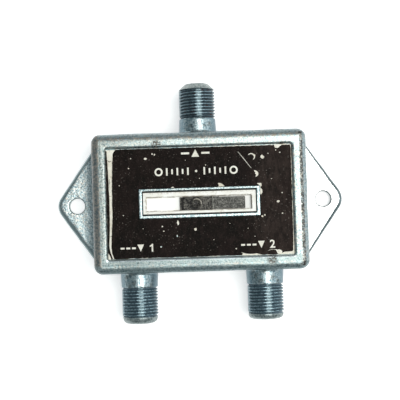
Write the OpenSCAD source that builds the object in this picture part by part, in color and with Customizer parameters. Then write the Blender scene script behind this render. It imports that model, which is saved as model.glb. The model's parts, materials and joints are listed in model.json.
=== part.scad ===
// Coaxial antenna switch: a die-cast box with three threaded ports and a slider.
// Frame: back plane at z = 0, front towards +Z, output port towards +Y, slider along X.
// The origin is the middle of the whole object on its back plane. All sizes are in mm.

/* [Case] */
// Width of the cast body along X, at its back edge
body_w = 56; // [52:0.2:64]
// Depth of the cast body along Y, at its back edge
body_d = 36.9; // [34:0.1:44]
// Height of the cast body from the back plane to the rim
body_h = 17; // [16:0.1:21]
// Draft of the four walls, in degrees
draft_angle = 2; // [0:0.25:5]
// Thickness of the side walls at the back edge
wall_t = 2.1; // [1.8:0.1:2.6]
// Thickness of the front wall behind the label
front_t = 2; // [1.6:0.1:2.6]
// Radius of the outer front edge
edge_r = 1.8; // [1.2:0.1:2.2]
// Corner radius of the rim's crest, inside its rounded edge
crest_corner_r = 0.4; // [0.2:0.05:1]
// Distance from the back outline to the label recess
rim_w = 4.15; // [3.6:0.05:5]
// Radius of the inner edge of the rim
rim_inner_r = 0.7; // [0.4:0.05:1]
// Depth of the label recess below the rim
recess_depth = 0.8; // [0.6:0.05:1.2]
// Thickness of the cast rib between the two inputs
shield_t = 1.2; // [0.8:0.1:2]
// Corner radius of the cavity
cavity_r = 1.2; // [0.6:0.1:2]

/* [Mounting ears] */
// Distance from the body's side to the middle of a mounting hole
ear_reach = 5.35; // [4.8:0.05:8]
// Diameter of a mounting hole
ear_hole_d = 4.2; // [3:0.1:5]
// Thickness of an ear
ear_t = 2; // [1.5:0.1:3]
// Radius of an ear's tip
ear_tip_r = 4.2; // [3.6:0.05:5.5]
// Distance from a hole to the centre of the tip radius
ear_tip_offset = 0.95; // [0:0.05:2]
// Distance from the body's back corner to where an ear's edge meets it
ear_root_inset = 2.1; // [0.8:0.1:6]
// Bevel around the front of an ear
ear_bevel = 0.6; // [0.2:0.05:0.9]

/* [Ports] */
// Distance from the body's side to the axis of an input port
port_inset = 11.4; // [10.2:0.1:14]
// Height of the port axes above the back plane
port_z = 7.2; // [6.4:0.1:8]
// Outer diameter of the port thread
thread_d = 9.5; // [9:0.05:10.5]
// Pitch of the port thread
thread_pitch = 0.794; // [0.6:0.01:1.2]
// Threaded length of a port
thread_len = 7.6; // [6:0.1:12]
// Diameter of the plain collar at a port's root
collar_d = 9.6; // [9.5:0.05:11]
// Length of the plain collar outside the wall
collar_len = 3.8; // [2:0.05:6]
// Width of the cast cone where a collar meets the wall
collar_foot = 0.6; // [0.3:0.05:0.8]
// Length of the rounded nose beyond the thread
nose_len = 1.65; // [1.2:0.05:2.5]
// Diameter of the flat end of the nose
nose_d = 6.2; // [5.8:0.1:7]
// Diameter of the mouth in the end of a port
mouth_d = 4.6; // [3.4:0.1:5.2]
// Thickness of the end wall around the mouth
mouth_t = 1.2; // [0.8:0.1:1.6]
// Diameter of the bore that holds the insulator
port_bore_d = 6.6; // [5.8:0.1:7]

/* [Window and guide] */
// Width of the window opening in the front wall
window_w = 29.3; // [27:0.1:32]
// Depth of the window opening in the front wall
window_d = 6.1; // [5.7:0.1:7]
// Thickness of the cast lip around the window
lip_t = 0.8; // [0.5:0.05:1.2]
// Height of the lip above the label recess
lip_h = 0.7; // [0.4:0.05:1]
// Gap between the guide and the window opening
guide_gap = 0.25; // [0.1:0.05:0.4]
// Distance of the guide's face below the lip
guide_drop = 0.3; // [0:0.05:0.5]
// Thickness of the guide's wall around its channel
guide_wall = 1.1; // [0.7:0.05:1.3]
// Depth of the channel in the guide
channel_depth = 1.1; // [0.9:0.05:1.4]
// Width of the guide's flange beyond the window
flange_lap = 1.75; // [1:0.05:2]
// Thickness of the guide's flange
flange_t = 1; // [0.8:0.05:1.4]
// Thickness of the two legs that stand on the switch board
leg_t = 1.5; // [1:0.1:2]

/* [Slider] */
// Length of the slider
slider_len = 16.9; // [16:0.1:18]
// Gap between the slider and each side of its channel
slider_gap = 0.15; // [0.1:0.05:0.3]
// Travel of the slider from one input to the other
travel = 6.5; // [5.5:0.1:7]
// Thickness of the slider's low half
slider_t = 0.5; // [0.4:0.05:0.7]
// Extra height of the slider's high half
slider_step = 0.3; // [0.1:0.05:0.5]
// Diameter of the finger pip
pip_d = 2.5; // [1.6:0.1:2.8]
// Height of the finger pip above the low half
pip_h = 0.5; // [0.3:0.05:0.8]
// Width of the groove near the slider's end
groove_w = 0.5; // [0.3:0.05:0.8]
// Depth of the groove near the slider's end
groove_depth = 0.2; // [0.1:0.05:0.3]
// Length of the stem that carries the contact carrier
stem_len = 3.4; // [2.4:0.1:3.5]
// Width of the stem
stem_w = 2; // [1.6:0.1:2.2]
// Depth of the stem's seat in the contact carrier
stem_seat = 1; // [0.7:0.05:1.1]

/* [Switch mechanism] */
// Length of the contact carrier
carrier_len = 14; // [11:0.2:15]
// Width of the contact carrier
carrier_w = 7; // [6.6:0.1:8]
// Height of the contact carrier
carrier_t = 2.5; // [2.4:0.05:3]
// Distance from a board screw to the board's end
board_edge = 2.1; // [1.6:0.1:2.4]
// Width of the switch board
board_d = 14; // [13:0.2:16]
// Thickness of the switch board
board_t = 1.2; // [0.8:0.1:1.6]
// Gap between a board screw's post and the guide's flange
post_gap = 0.2; // [0.1:0.05:0.5]
// Thickness of the contact strips on the board
strip_t = 0.25; // [0.15:0.05:0.28]
// Width of the contact strips on the board
strip_w = 1.4; // [1:0.05:1.8]
// Distance from the middle to the line of each strip
strip_y = 1.8; // [1.5:0.05:2.2]
// Length of an input strip's contact end under the wiper
pad_len = 3.2; // [2:0.1:4]
// Gap between a rivet's head and the carrier or a leg of the guide
rivet_gap = 0.6; // [0.3:0.05:1]
// Radius of a rivet's shank
rivet_r = 0.6; // [0.4:0.05:0.7]
// Radius of a rivet's head
rivet_head_r = 0.95; // [0.8:0.05:1.1]
// Thickness of a rivet's head
rivet_head_t = 0.3; // [0.2:0.05:0.5]
// Thickness of the wiper's spring strip
wiper_t = 0.2; // [0.15:0.05:0.3]
// Width of the wiper
wiper_w = 2.4; // [1.6:0.1:3]
// Radius of a wiper foot
wiper_foot_r = 0.35; // [0.25:0.05:0.45]
// Thickness of the detent spring's strip
detent_t = 0.2; // [0.15:0.05:0.3]
// Length of the detent spring
detent_len = 7.6; // [6:0.1:9]
// Width of the detent spring
detent_w = 1.4; // [1:0.1:1.6]
// Distance from the middle to the line of the detent spring
detent_y = 2.3; // [2.2:0.05:2.4]

/* [Port contacts] */
// Outer radius of a centre socket
socket_r = 1; // [0.8:0.05:1.2]
// Radius of the hole in a centre socket
socket_hole_r = 0.5; // [0.4:0.05:0.6]
// Distance from the insulator's front to the socket's mouth
socket_setback = 1; // [0.6:0.1:2]
// Depth of the hole in a centre socket
socket_depth = 7; // [5:0.2:8]
// Thickness of the insulator's back wall
insulator_back_t = 1.4; // [1:0.1:2]
// Radius of a socket's tail
tail_r = 0.5; // [0.35:0.05:0.6]
// Length of a socket's tail inside the case
tail_len = 2.7; // [2:0.1:3.5]
// Radius of a lead wire
lead_r = 0.35; // [0.25:0.05:0.45]
// Length of the straight start of a lead
lead_run = 1.6; // [1:0.1:2.5]
// Gap between a lead's bend and the edge of the switch board
lead_gap = 1.2; // [0.8:0.1:2]

/* [Back cover and screws] */
// Thickness of the back cover
cover_t = 1; // [0.7:0.05:1.4]
// Distance from the back outline to the cover's edge
cover_inset = 1.3; // [1:0.05:1.4]
// Distance of the cover below the back plane
cover_recess = 0.15; // [0.05:0.05:0.4]
// Radius of a screw's shank
screw_r = 1; // [0.8:0.05:1.15]
// Radius of a screw's head
screw_head_r = 1.9; // [1.6:0.05:2]
// Length of a cover screw
cover_screw_len = 6; // [4:0.1:8]
// Radius of a cover screw's boss
cover_boss_r = 2.3; // [2:0.05:2.5]
// Distance from the cavity's walls to a boss's centre
cover_boss_inset = 2; // [1.6:0.05:2.2]
// Radius of a board screw's post
board_post_r = 2.1; // [1.8:0.05:2.3]
// Height of a board screw's head
pan_head_t = 1.2; // [1:0.05:1.5]
// Thickness of the washer under a board screw's head
washer_t = 0.3; // [0.2:0.05:0.5]
// Width of the cross recess in a screw's head
cross_w = 0.4; // [0.3:0.05:0.6]
// Length of the cross recess in a screw's head
cross_len = 2; // [1.4:0.1:2.4]
// Depth of the cross recess in a screw's head
cross_depth = 0.6; // [0.3:0.05:0.7]

/* [Label] */
// Thickness of the front label
label_t = 0.2; // [0.1:0.02:0.35]
// Gap between the label and the walls of its recess
label_gap = 0.2; // [0.1:0.05:0.4]
// Corner radius of the label
label_r = 0.6; // [0.3:0.05:1]

/* [Fits] */
// Running gap between a sliding piece and what guides it
run_gap = 0.1; // [0.06:0.02:0.14]
// Gap around a seated piece
fit_gap = 0.05; // [0.02:0.01:0.08]
// Overrun of a cut past the face that it opens
cut = 0.5; // [0.3:0.05:0.8]

/* [Hidden] */
$fn = 64;

// Levels, from the rim down to the cover
recess_z = body_h - recess_depth;
ceiling_z = recess_z - front_t;
lip_z = recess_z + lip_h;
guide_z = lip_z - guide_drop;
channel_z = guide_z - channel_depth;
flange_z = ceiling_z - flange_t;
carrier_top_z = flange_z - run_gap;
carrier_z = carrier_top_z - carrier_t;
strip_top_z = carrier_z - run_gap;
board_top_z = strip_top_z - strip_t;
board_z = board_top_z - board_t;
cover_z = cover_recess + cover_t;

// Body: walls, fillet and cavity
wall_slope = tan(draft_angle);
fillet_z = body_h - edge_r;
fillet_x = crest_corner_r;
corner_r = crest_corner_r + (edge_r + fillet_z * sin(draft_angle)) / cos(draft_angle);
cavity_w = body_w - 2 * wall_t;
cavity_d = body_d - 2 * wall_t;
recess_w = body_w - 2 * rim_w;
recess_d = body_d - 2 * rim_w;
cover_w = body_w - 2 * cover_inset;
cover_d = body_d - 2 * cover_inset;
cover_r = corner_r - cover_inset;
ear_x = body_w / 2 + ear_reach;
boss_x = cavity_w / 2 - cover_boss_inset;
boss_y = cavity_d / 2 - cover_boss_inset;

// Ports: each is drawn along +Z from the wall and then turned towards +Y or -Y
port_y = body_d / 2 - port_z * wall_slope;
port_x = body_w / 2 - port_inset;
port_len = collar_len + thread_len + nose_len;
thread_depth_share = 0.6134;
crest_share = 0.125;
root_flat_share = 0.165;
thread_r = thread_d / 2;
root_r = thread_r - thread_pitch * thread_depth_share;
crest_flat = thread_pitch * crest_share;
flank = thread_pitch * (1 - crest_share - root_flat_share) / 2;
thread_turns = floor(thread_len / thread_pitch);
nose_steps = 4;
nose_curve = 1.8;

// Pieces inside a port, measured from the cavity's wall plane along the port
wall_in = port_y - cavity_d / 2;
insulator_len = wall_in + port_len - mouth_t;
insulator_r = port_bore_d / 2 - fit_gap;
socket_front = insulator_len - socket_setback;

// Window, guide and slider
guide_w = window_w - 2 * guide_gap;
guide_d = window_d - 2 * guide_gap;
channel_w = guide_w - 2 * guide_wall;
channel_d = guide_d - 2 * guide_wall;
flange_w = window_w + 2 * flange_lap;
flange_d = window_d + 2 * flange_lap;
slider_d = channel_d - 2 * slider_gap;
slider_x = travel / 2;
slider_z = channel_z + run_gap / 2;
slot_w = travel + stem_len + 2 * run_gap;
slot_d = stem_w + 2 * run_gap;
stem_z = carrier_top_z - stem_seat;

// Detent spring: its crown runs in a track under the guide's flange
track_depth = flange_t / 3;
dimple_depth = flange_t / 6;
crown_z = flange_z + track_depth - run_gap;
detent_seat_z = carrier_top_z - carrier_t / 3;

// Switch board: its posts stand beside the guide's flange, its rivets clear of the carrier
board_screw_x = flange_w / 2 + post_gap + board_post_r;
board_w = 2 * (board_screw_x + board_edge);
input_rivet_x = travel / 2 + carrier_len / 2 + rivet_gap + rivet_head_r;
common_rivet_y = carrier_w / 2 + rivet_gap + rivet_head_r;

// Wiper: its feet bridge the common strip and one input strip
wiper_seat_z = carrier_z + carrier_t * 0.4;
wiper_reach = strip_y + wiper_foot_r;
foot_z = strip_top_z + run_gap / 2 + wiper_foot_r;

zinc = [0.62, 0.67, 0.71];
steel = [0.66, 0.67, 0.68];
label_black = [0.14, 0.11, 0.1];
guide_white = [0.93, 0.92, 0.88];
slider_black = [0.2, 0.2, 0.2];
board_brown = [0.45, 0.28, 0.14];
contact_silver = [0.82, 0.8, 0.76];
bronze = [0.75, 0.52, 0.3];
insulator_cream = [0.9, 0.88, 0.8];
tinned = [0.78, 0.79, 0.8];

// A rectangle with round corners, centred on the origin
module round_rect(w, d, r) {
    square([w - 2 * r, d], center = true);
    square([w, d - 2 * r], center = true);
    for (sx = [-1, 1], sy = [-1, 1])
        translate([sx * (w / 2 - r), sy * (d / 2 - r)])
            circle(r);
}

// A plate with round corners, standing on height z
module plate(w, d, r, z, t) {
    translate([0, 0, z])
        linear_extrude(t)
            round_rect(w, d, r);
}

// A block centred on x and y, standing on height z
module block(x, y, z, w, d, t) {
    translate([x - w / 2, y - d / 2, z])
        cube([w, d, t]);
}

// Draws its children at the four corners of a rectangle of half sizes x and y
module at_corners(x, y) {
    for (sx = [-1, 1], sy = [-1, 1])
        translate([sx * x, sy * y, 0])
            children();
}

// Turns a piece drawn along +Z so that it runs out of the wall through port axis x
module at_port(x, side) {
    translate([x, 0, port_z])
        rotate([-90 * side, 0, 0])
            children();
}

// Outline of the wall from a corner's centre outwards: drafted side and round front edge
module wall_section() {
    polygon([
        [0, 0],
        [corner_r, 0],
        [fillet_x + edge_r * cos(draft_angle), fillet_z + edge_r * sin(draft_angle)],
        [fillet_x, fillet_z],
        [fillet_x, body_h],
        [0, body_h]
    ]);
    translate([fillet_x, fillet_z])
        intersection() {
            circle(edge_r);
            square(edge_r);
        }
}

// Full cross-section of the body, half_core wide on each side of the middle before its walls
module body_section(half_core) {
    translate([-half_core, 0])
        square([2 * half_core, body_h]);
    for (side = [0, 1])
        mirror([side, 0])
            translate([half_core, 0])
                wall_section();
}

module body_solid() {
    core_x = body_w / 2 - corner_r;
    core_y = body_d / 2 - corner_r;
    rotate([90, 0, 0])
        linear_extrude(2 * core_y, center = true)
            body_section(core_x);
    rotate([90, 0, 90])
        linear_extrude(2 * core_x, center = true)
            body_section(core_y);
    for (quarter = [0:3]) {
        sx = (quarter == 0 || quarter == 3) ? 1 : -1;
        sy = quarter < 2 ? 1 : -1;
        translate([sx * core_x, sy * core_y, 0])
            rotate([0, 0, 90 * quarter])
                rotate_extrude(angle = 90)
                    wall_section();
    }
}

// Cross-section of the label recess: flat floor, walls that round over into the rim
module recess_section(width) {
    difference() {
        translate([-width / 2 - rim_inner_r, recess_z])
            square([width + 2 * rim_inner_r, recess_depth + cut]);
        for (side = [-1, 1])
            translate([side * (width / 2 + rim_inner_r), body_h - rim_inner_r]) {
                circle(rim_inner_r);
                translate([-rim_inner_r, -recess_depth])
                    square([2 * rim_inner_r, recess_depth]);
            }
    }
}

module label_recess() {
    intersection() {
        rotate([90, 0, 0])
            linear_extrude(body_d, center = true)
                recess_section(recess_w);
        rotate([90, 0, 90])
            linear_extrude(body_w, center = true)
                recess_section(recess_d);
    }
}

// Outline of one ear: two straight edges from the body that run tangent to a round tip
module ear_outline(inset) {
    tip_x = ear_x + ear_tip_offset;
    tip_r = ear_tip_r - inset;
    root_x = body_w / 2;
    root_y = body_d / 2 - ear_root_inset - inset;
    reach = norm([root_x - tip_x, root_y]);
    touch = atan2(root_y, root_x - tip_x) - acos(tip_r / reach);
    touch_x = tip_x + tip_r * cos(touch);
    touch_y = tip_r * sin(touch);
    translate([tip_x, 0])
        circle(tip_r, $fn = 48);
    polygon([
        [root_x - wall_t, root_y],
        [root_x, root_y],
        [touch_x, touch_y],
        [touch_x, -touch_y],
        [root_x, -root_y],
        [root_x - wall_t, -root_y]
    ]);
}

module ears() {
    for (side = [0, 1])
        mirror([side, 0, 0])
            hull() {
                linear_extrude(ear_t - ear_bevel)
                    ear_outline(0);
                linear_extrude(ear_t)
                    ear_outline(ear_bevel);
            }
}

// Half outline of a port: foot, collar, thread ridges and a rounded nose, from below the wall outwards
module port_section() {
    foot_r = collar_d / 2 + collar_foot;
    thread_end = collar_len + thread_len;
    first = collar_len + (thread_len - thread_turns * thread_pitch) / 2;
    ridges = [
        for (i = [0:thread_turns - 1], p = [0:3])
            let (z = first + i * thread_pitch)
                p == 0 ? [root_r, z]
                : p == 1 ? [thread_r, z + flank]
                : p == 2 ? [thread_r, z + flank + crest_flat]
                : [root_r, z + 2 * flank + crest_flat]
    ];
    nose = [
        for (i = [0:nose_steps])
            let (along = i / nose_steps)
                [root_r - (root_r - nose_d / 2) * pow(along, nose_curve), thread_end + nose_len * along]
    ];
    polygon(concat(
        [[0, -wall_in], [foot_r, -wall_in], [foot_r, 0], [collar_d / 2, collar_foot]],
        [[collar_d / 2, collar_len], [root_r, collar_len]],
        ridges,
        nose,
        [[0, collar_len + thread_len + nose_len]]
    ));
}

module port_solid() {
    translate([0, 0, port_y])
        rotate_extrude()
            port_section();
}

module port_hole() {
    translate([0, 0, cavity_d / 2 - wall_t / 2])
        cylinder(h = insulator_len + wall_t / 2, r = port_bore_d / 2);
    translate([0, 0, cavity_d / 2])
        cylinder(h = insulator_len + mouth_t + cut, d = mouth_d);
}

// Screw holes in the corner bosses and in the two posts that carry the switch board
module pilot_holes() {
    at_corners(boss_x, boss_y)
        cylinder(h = cover_recess + cover_screw_len + cut, r = screw_r + fit_gap);
    for (side = [-1, 1])
        translate([side * board_screw_x, 0, board_top_z - cut])
            cylinder(h = ceiling_z - board_top_z, r = screw_r + fit_gap);
}

// Bosses, posts and the shield rib that stand down from the front wall inside the cavity
module inner_castings() {
    at_corners(boss_x, boss_y)
        translate([0, 0, cover_z])
            cylinder(h = ceiling_z - cover_z + cut, r = cover_boss_r);
    for (side = [-1, 1])
        translate([side * board_screw_x, 0, board_top_z])
            cylinder(h = ceiling_z - board_top_z + cut, r = board_post_r);
    rib_end = board_d / 2 + run_gap;
    translate([-shield_t / 2, -cavity_d / 2 - cut, cover_z])
        cube([shield_t, cavity_d / 2 + cut - rib_end, ceiling_z - cover_z + cut]);
}

module housing() {
    color(zinc)
        difference() {
            union() {
                difference() {
                    union() {
                        difference() {
                            body_solid();
                            label_recess();
                        }
                        block(0, 0, recess_z - cut, window_w + 2 * lip_t, window_d + 2 * lip_t, lip_h + cut);
                        ears();
                        at_port(0, 1) port_solid();
                        for (side = [-1, 1])
                            at_port(side * port_x, -1) port_solid();
                    }
                    plate(cavity_w, cavity_d, cavity_r, -cut, ceiling_z + cut);
                    plate(cover_w + 2 * fit_gap, cover_d + 2 * fit_gap, cover_r, -cut, cover_z + cut);
                    at_port(0, 1) port_hole();
                    for (side = [-1, 1])
                        at_port(side * port_x, -1) port_hole();
                }
                inner_castings();
            }
            block(0, 0, ceiling_z - cut, window_w, window_d, body_h);
            pilot_holes();
            for (side = [-1, 1])
                translate([side * ear_x, 0, -cut])
                    cylinder(h = ear_t + 2 * cut, d = ear_hole_d);
        }
}

// A countersink from radius big at height z up to the shank's radius
module countersink(big, small) {
    translate([0, 0, cover_recess])
        cylinder(h = big - small, r1 = big, r2 = small);
}

module back_cover() {
    color(steel)
        difference() {
            plate(cover_w, cover_d, cover_r, cover_recess, cover_t);
            at_corners(boss_x, boss_y) {
                cylinder(h = cover_z + cut, r = screw_r + fit_gap);
                countersink(screw_head_r, screw_r);
            }
        }
}

// The cross recess in a screw's head, open downwards at height z
module cross_recess(z) {
    block(0, 0, z - cut, cross_w, cross_len, cross_depth + cut);
    block(0, 0, z - cut, cross_len, cross_w, cross_depth + cut);
}

module cover_screws() {
    color(steel)
        at_corners(boss_x, boss_y)
            difference() {
                union() {
                    countersink(screw_head_r, screw_r);
                    translate([0, 0, cover_recess])
                        cylinder(h = cover_screw_len, r = screw_r);
                }
                cross_recess(cover_recess);
            }
}

module front_label() {
    lip_gap = label_gap / 2;
    color(label_black)
        difference() {
            plate(recess_w - 2 * label_gap, recess_d - 2 * label_gap, label_r, recess_z, label_t);
            block(0, 0, recess_z - cut, window_w + 2 * (lip_t + lip_gap), window_d + 2 * (lip_t + lip_gap),
                label_t + 2 * cut);
        }
}

// White moulding that fills the window and guides the slider in a channel
module slide_guide() {
    color(guide_white)
        difference() {
            union() {
                block(0, 0, flange_z, flange_w, flange_d, flange_t);
                block(0, 0, flange_z, guide_w, guide_d, guide_z - flange_z);
                for (side = [-1, 1])
                    block(side * (flange_w - leg_t) / 2, 0, board_top_z, leg_t, flange_d, flange_z - board_top_z);
            }
            block(0, 0, channel_z, channel_w, channel_d, channel_depth + cut);
            block(0, 0, flange_z - cut, slot_w, slot_d, guide_z - flange_z);
            block(0, detent_y, flange_z - cut, travel + detent_w + 2 * run_gap, detent_w + 2 * run_gap,
                track_depth + cut);
            for (side = [-1, 1])
                block(side * travel / 2, detent_y, flange_z - cut, detent_w, detent_w + 2 * run_gap,
                    track_depth + dimple_depth + cut);
        }
}

// Black shutter with a finger pip on its low half, and the stem that reaches the carrier
module slider() {
    low_x = slider_x - slider_len / 4;
    high_x = slider_x + slider_len / 4;
    color(slider_black)
        difference() {
            union() {
                block(slider_x, 0, slider_z, slider_len, slider_d, slider_t);
                block(high_x, 0, slider_z, slider_len / 2, slider_d, slider_t + slider_step);
                translate([low_x, 0, slider_z])
                    cylinder(h = slider_t + pip_h / 2, d = pip_d);
                translate([low_x, 0, slider_z + slider_t + pip_h / 2])
                    cylinder(h = pip_h / 2, r1 = pip_d / 2, r2 = pip_d / 3);
                block(slider_x, 0, stem_z, stem_len, stem_w, slider_z - stem_z + slider_t);
            }
            block(slider_x - slider_len / 2 + 1.5 * groove_w, 0, slider_z + slider_t - groove_depth,
                groove_w, slider_d + cut, groove_depth + cut);
        }
}

// Moulded block on the end of the stem, with seats for the detent spring and the wiper
module contact_carrier() {
    color(slider_black)
        difference() {
            block(slider_x, 0, carrier_z, carrier_len, carrier_w, carrier_t);
            block(slider_x, 0, stem_z, stem_len, stem_w, stem_seat + cut);
            block(slider_x, detent_y, detent_seat_z, detent_len + 2 * run_gap, detent_w + 2 * fit_gap,
                carrier_t);
            block(slider_x, 0, carrier_z - cut, wiper_w + 2 * fit_gap, 2 * (wiper_reach + run_gap),
                wiper_seat_z - carrier_z + cut);
        }
}

// A straight strip of thickness t in the drawing plane, from point a to point b
module strip_2d(a, b, t) {
    run = b - a;
    translate(a)
        rotate(atan2(run[1], run[0]))
            translate([0, -t / 2])
                square([norm(run), t]);
}

// Spring strip under the carrier: flat on its seat, with an arm down to a round foot each side
module wiper_contact() {
    shoulder = strip_y / 3;
    seat = wiper_seat_z - wiper_t / 2;
    color(bronze)
        translate([slider_x, 0, 0])
            rotate([90, 0, 90])
                linear_extrude(wiper_w, center = true) {
                    strip_2d([-shoulder - wiper_t / 2, seat], [shoulder + wiper_t / 2, seat], wiper_t);
                    for (side = [-1, 1]) {
                        strip_2d([side * shoulder, seat], [side * strip_y, foot_z], wiper_t);
                        translate([side * strip_y, foot_z])
                            circle(wiper_foot_r);
                    }
                }
}

// Bowed strip in the carrier's top, whose crown runs in the guide's track
module detent_spring() {
    crown_r = detent_w / 3;
    foot = detent_seat_z + detent_t;
    color(bronze)
        translate([slider_x, detent_y, 0])
            rotate([90, 0, 0])
                linear_extrude(detent_w, center = true)
                    for (side = [-1, 1]) {
                        strip_2d([side * detent_len / 2, foot], [0, crown_z - crown_r], detent_t);
                        translate([0, crown_z - crown_r])
                            circle(crown_r);
                    }
}

// A hole through the board and the strips at each rivet
module rivet_places() {
    for (side = [-1, 1])
        translate([side * input_rivet_x, -strip_y, 0])
            children();
    translate([0, common_rivet_y, 0])
        children();
}

module switch_board() {
    color(board_brown)
        difference() {
            block(0, 0, board_z, board_w, board_d, board_t);
            for (side = [-1, 1])
                translate([side * board_screw_x, 0, board_z - cut])
                    cylinder(h = board_t + 2 * cut, r = screw_r + fit_gap);
            rivet_places()
                translate([0, 0, board_z - cut])
                    cylinder(h = board_t + 2 * cut, r = rivet_r);
        }
}

module board_screws() {
    head_z = board_z - washer_t - pan_head_t;
    color(steel)
        for (side = [-1, 1])
            translate([side * board_screw_x, 0, 0])
                difference() {
                    union() {
                        translate([0, 0, head_z])
                            cylinder(h = pan_head_t / 2, r1 = screw_head_r * 0.8, r2 = screw_head_r);
                        translate([0, 0, head_z + pan_head_t / 2])
                            cylinder(h = pan_head_t / 2, r = screw_head_r);
                        translate([0, 0, head_z])
                            cylinder(h = ceiling_z - head_z - flange_t, r = screw_r);
                    }
                    cross_recess(head_z);
                }
}

module board_washers() {
    color(steel)
        for (side = [-1, 1])
            translate([side * board_screw_x, 0, board_z - washer_t])
                difference() {
                    cylinder(h = washer_t, r = screw_head_r + cross_w);
                    translate([0, 0, -cut])
                        cylinder(h = washer_t + 2 * cut, r = screw_r + fit_gap);
                }
}

// Cuts the rivet holes out of a contact strip
module riveted_strip() {
    color(contact_silver)
        difference() {
            children();
            rivet_places()
                translate([0, 0, board_top_z - cut])
                    cylinder(h = strip_t + 2 * cut, r = rivet_r);
        }
}

module common_strip() {
    rail_len = travel + pad_len;
    tail_end = common_rivet_y + rivet_head_r;
    riveted_strip()
        union() {
            block(0, strip_y, board_top_z, rail_len, strip_w, strip_t);
            block(0, (strip_y + tail_end) / 2, board_top_z, strip_w, tail_end - strip_y, strip_t);
        }
}

module input_strip(side) {
    inner = travel / 2 - pad_len / 2;
    outer = input_rivet_x + rivet_head_r;
    riveted_strip()
        block(side * (inner + outer) / 2, -strip_y, board_top_z, outer - inner, strip_w, strip_t);
}

module input_a_strip() {
    input_strip(-1);
}

module input_b_strip() {
    input_strip(1);
}

module terminal_rivets() {
    color(contact_silver)
        rivet_places() {
            translate([0, 0, board_z - rivet_head_t])
                cylinder(h = board_t + strip_t + 2 * rivet_head_t, r = rivet_r);
            translate([0, 0, strip_top_z])
                cylinder(h = rivet_head_t, r = rivet_head_r);
            translate([0, 0, board_z - rivet_head_t])
                cylinder(h = rivet_head_t, r = rivet_head_r);
        }
}

// Plug that fills a port's bore, with a seat for the socket and a funnel for the cable's wire
module insulator(x, side) {
    color(insulator_cream)
        at_port(x, side)
            translate([0, 0, cavity_d / 2])
                difference() {
                    cylinder(h = insulator_len, r = insulator_r);
                    translate([0, 0, -cut])
                        cylinder(h = insulator_len + 2 * cut, r = tail_r + fit_gap);
                    translate([0, 0, insulator_back_t])
                        cylinder(h = socket_front - insulator_back_t, r = socket_r + fit_gap);
                    translate([0, 0, insulator_len - socket_setback / 2])
                        cylinder(h = socket_setback / 2 + cut, r1 = tail_r, r2 = socket_r + cut);
                }
}

module insulator_output() {
    insulator(0, 1);
}

module insulator_input_a() {
    insulator(-port_x, -1);
}

module insulator_input_b() {
    insulator(port_x, -1);
}

// Centre contact of a port: a drilled pin with a thin tail into the cavity
module socket(x, side) {
    color(contact_silver)
        at_port(x, side)
            translate([0, 0, cavity_d / 2])
                difference() {
                    union() {
                        translate([0, 0, insulator_back_t])
                            cylinder(h = socket_front - insulator_back_t, r = socket_r);
                        translate([0, 0, -tail_len])
                            cylinder(h = tail_len + insulator_back_t + cut, r = tail_r);
                    }
                    translate([0, 0, socket_front - socket_depth])
                        cylinder(h = socket_depth + cut, r = socket_hole_r);
                }
}

module socket_output() {
    socket(0, 1);
}

module socket_input_a() {
    socket(-port_x, -1);
}

module socket_input_b() {
    socket(port_x, -1);
}

// A round wire of radius r along straight runs between points, with a ball at each bend
module wire(points, r) {
    bend_share = 1.35;
    for (i = [0:len(points) - 2]) {
        run = points[i + 1] - points[i];
        translate(points[i])
            rotate([0, acos(run[2] / norm(run)), atan2(run[1], run[0])])
                cylinder(h = norm(run), r = r);
    }
    for (i = [1:len(points) - 2])
        translate(points[i])
            sphere(r * bend_share);
}

// Wire from a socket's tail to the underside of a rivet
module lead(x, side, rivet_x, rivet_y) {
    tail_y = side * (cavity_d / 2 - tail_len);
    rivet_z = board_z - rivet_head_t;
    under_z = rivet_z - lead_run / 2;
    color(tinned)
        wire([
            [x, tail_y, port_z],
            [x, tail_y - side * lead_run, port_z],
            [x, side * (board_d / 2 + lead_gap), under_z],
            [rivet_x, rivet_y, under_z],
            [rivet_x, rivet_y, rivet_z]
        ], lead_r);
}

module lead_output() {
    lead(0, 1, 0, common_rivet_y);
}

module lead_input_a() {
    mirror([1, 0, 0])
        lead_input_b();
}

module lead_input_b() {
    lead(port_x, -1, input_rivet_x, -strip_y);
}

housing();
back_cover();
cover_screws();
front_label();
slide_guide();
slider();
contact_carrier();
wiper_contact();
detent_spring();
switch_board();
board_screws();
board_washers();
common_strip();
input_a_strip();
input_b_strip();
terminal_rivets();
insulator_output();
insulator_input_a();
insulator_input_b();
socket_output();
socket_input_a();
socket_input_b();
lead_output();
lead_input_a();
lead_input_b();
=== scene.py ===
"""Coaxial antenna switch: cast zinc case, threaded ports, slider and worn label around the CAD frame."""
import json
import math
import random

import bmesh
import bpy
from mathutils import Matrix, Vector, noise

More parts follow.
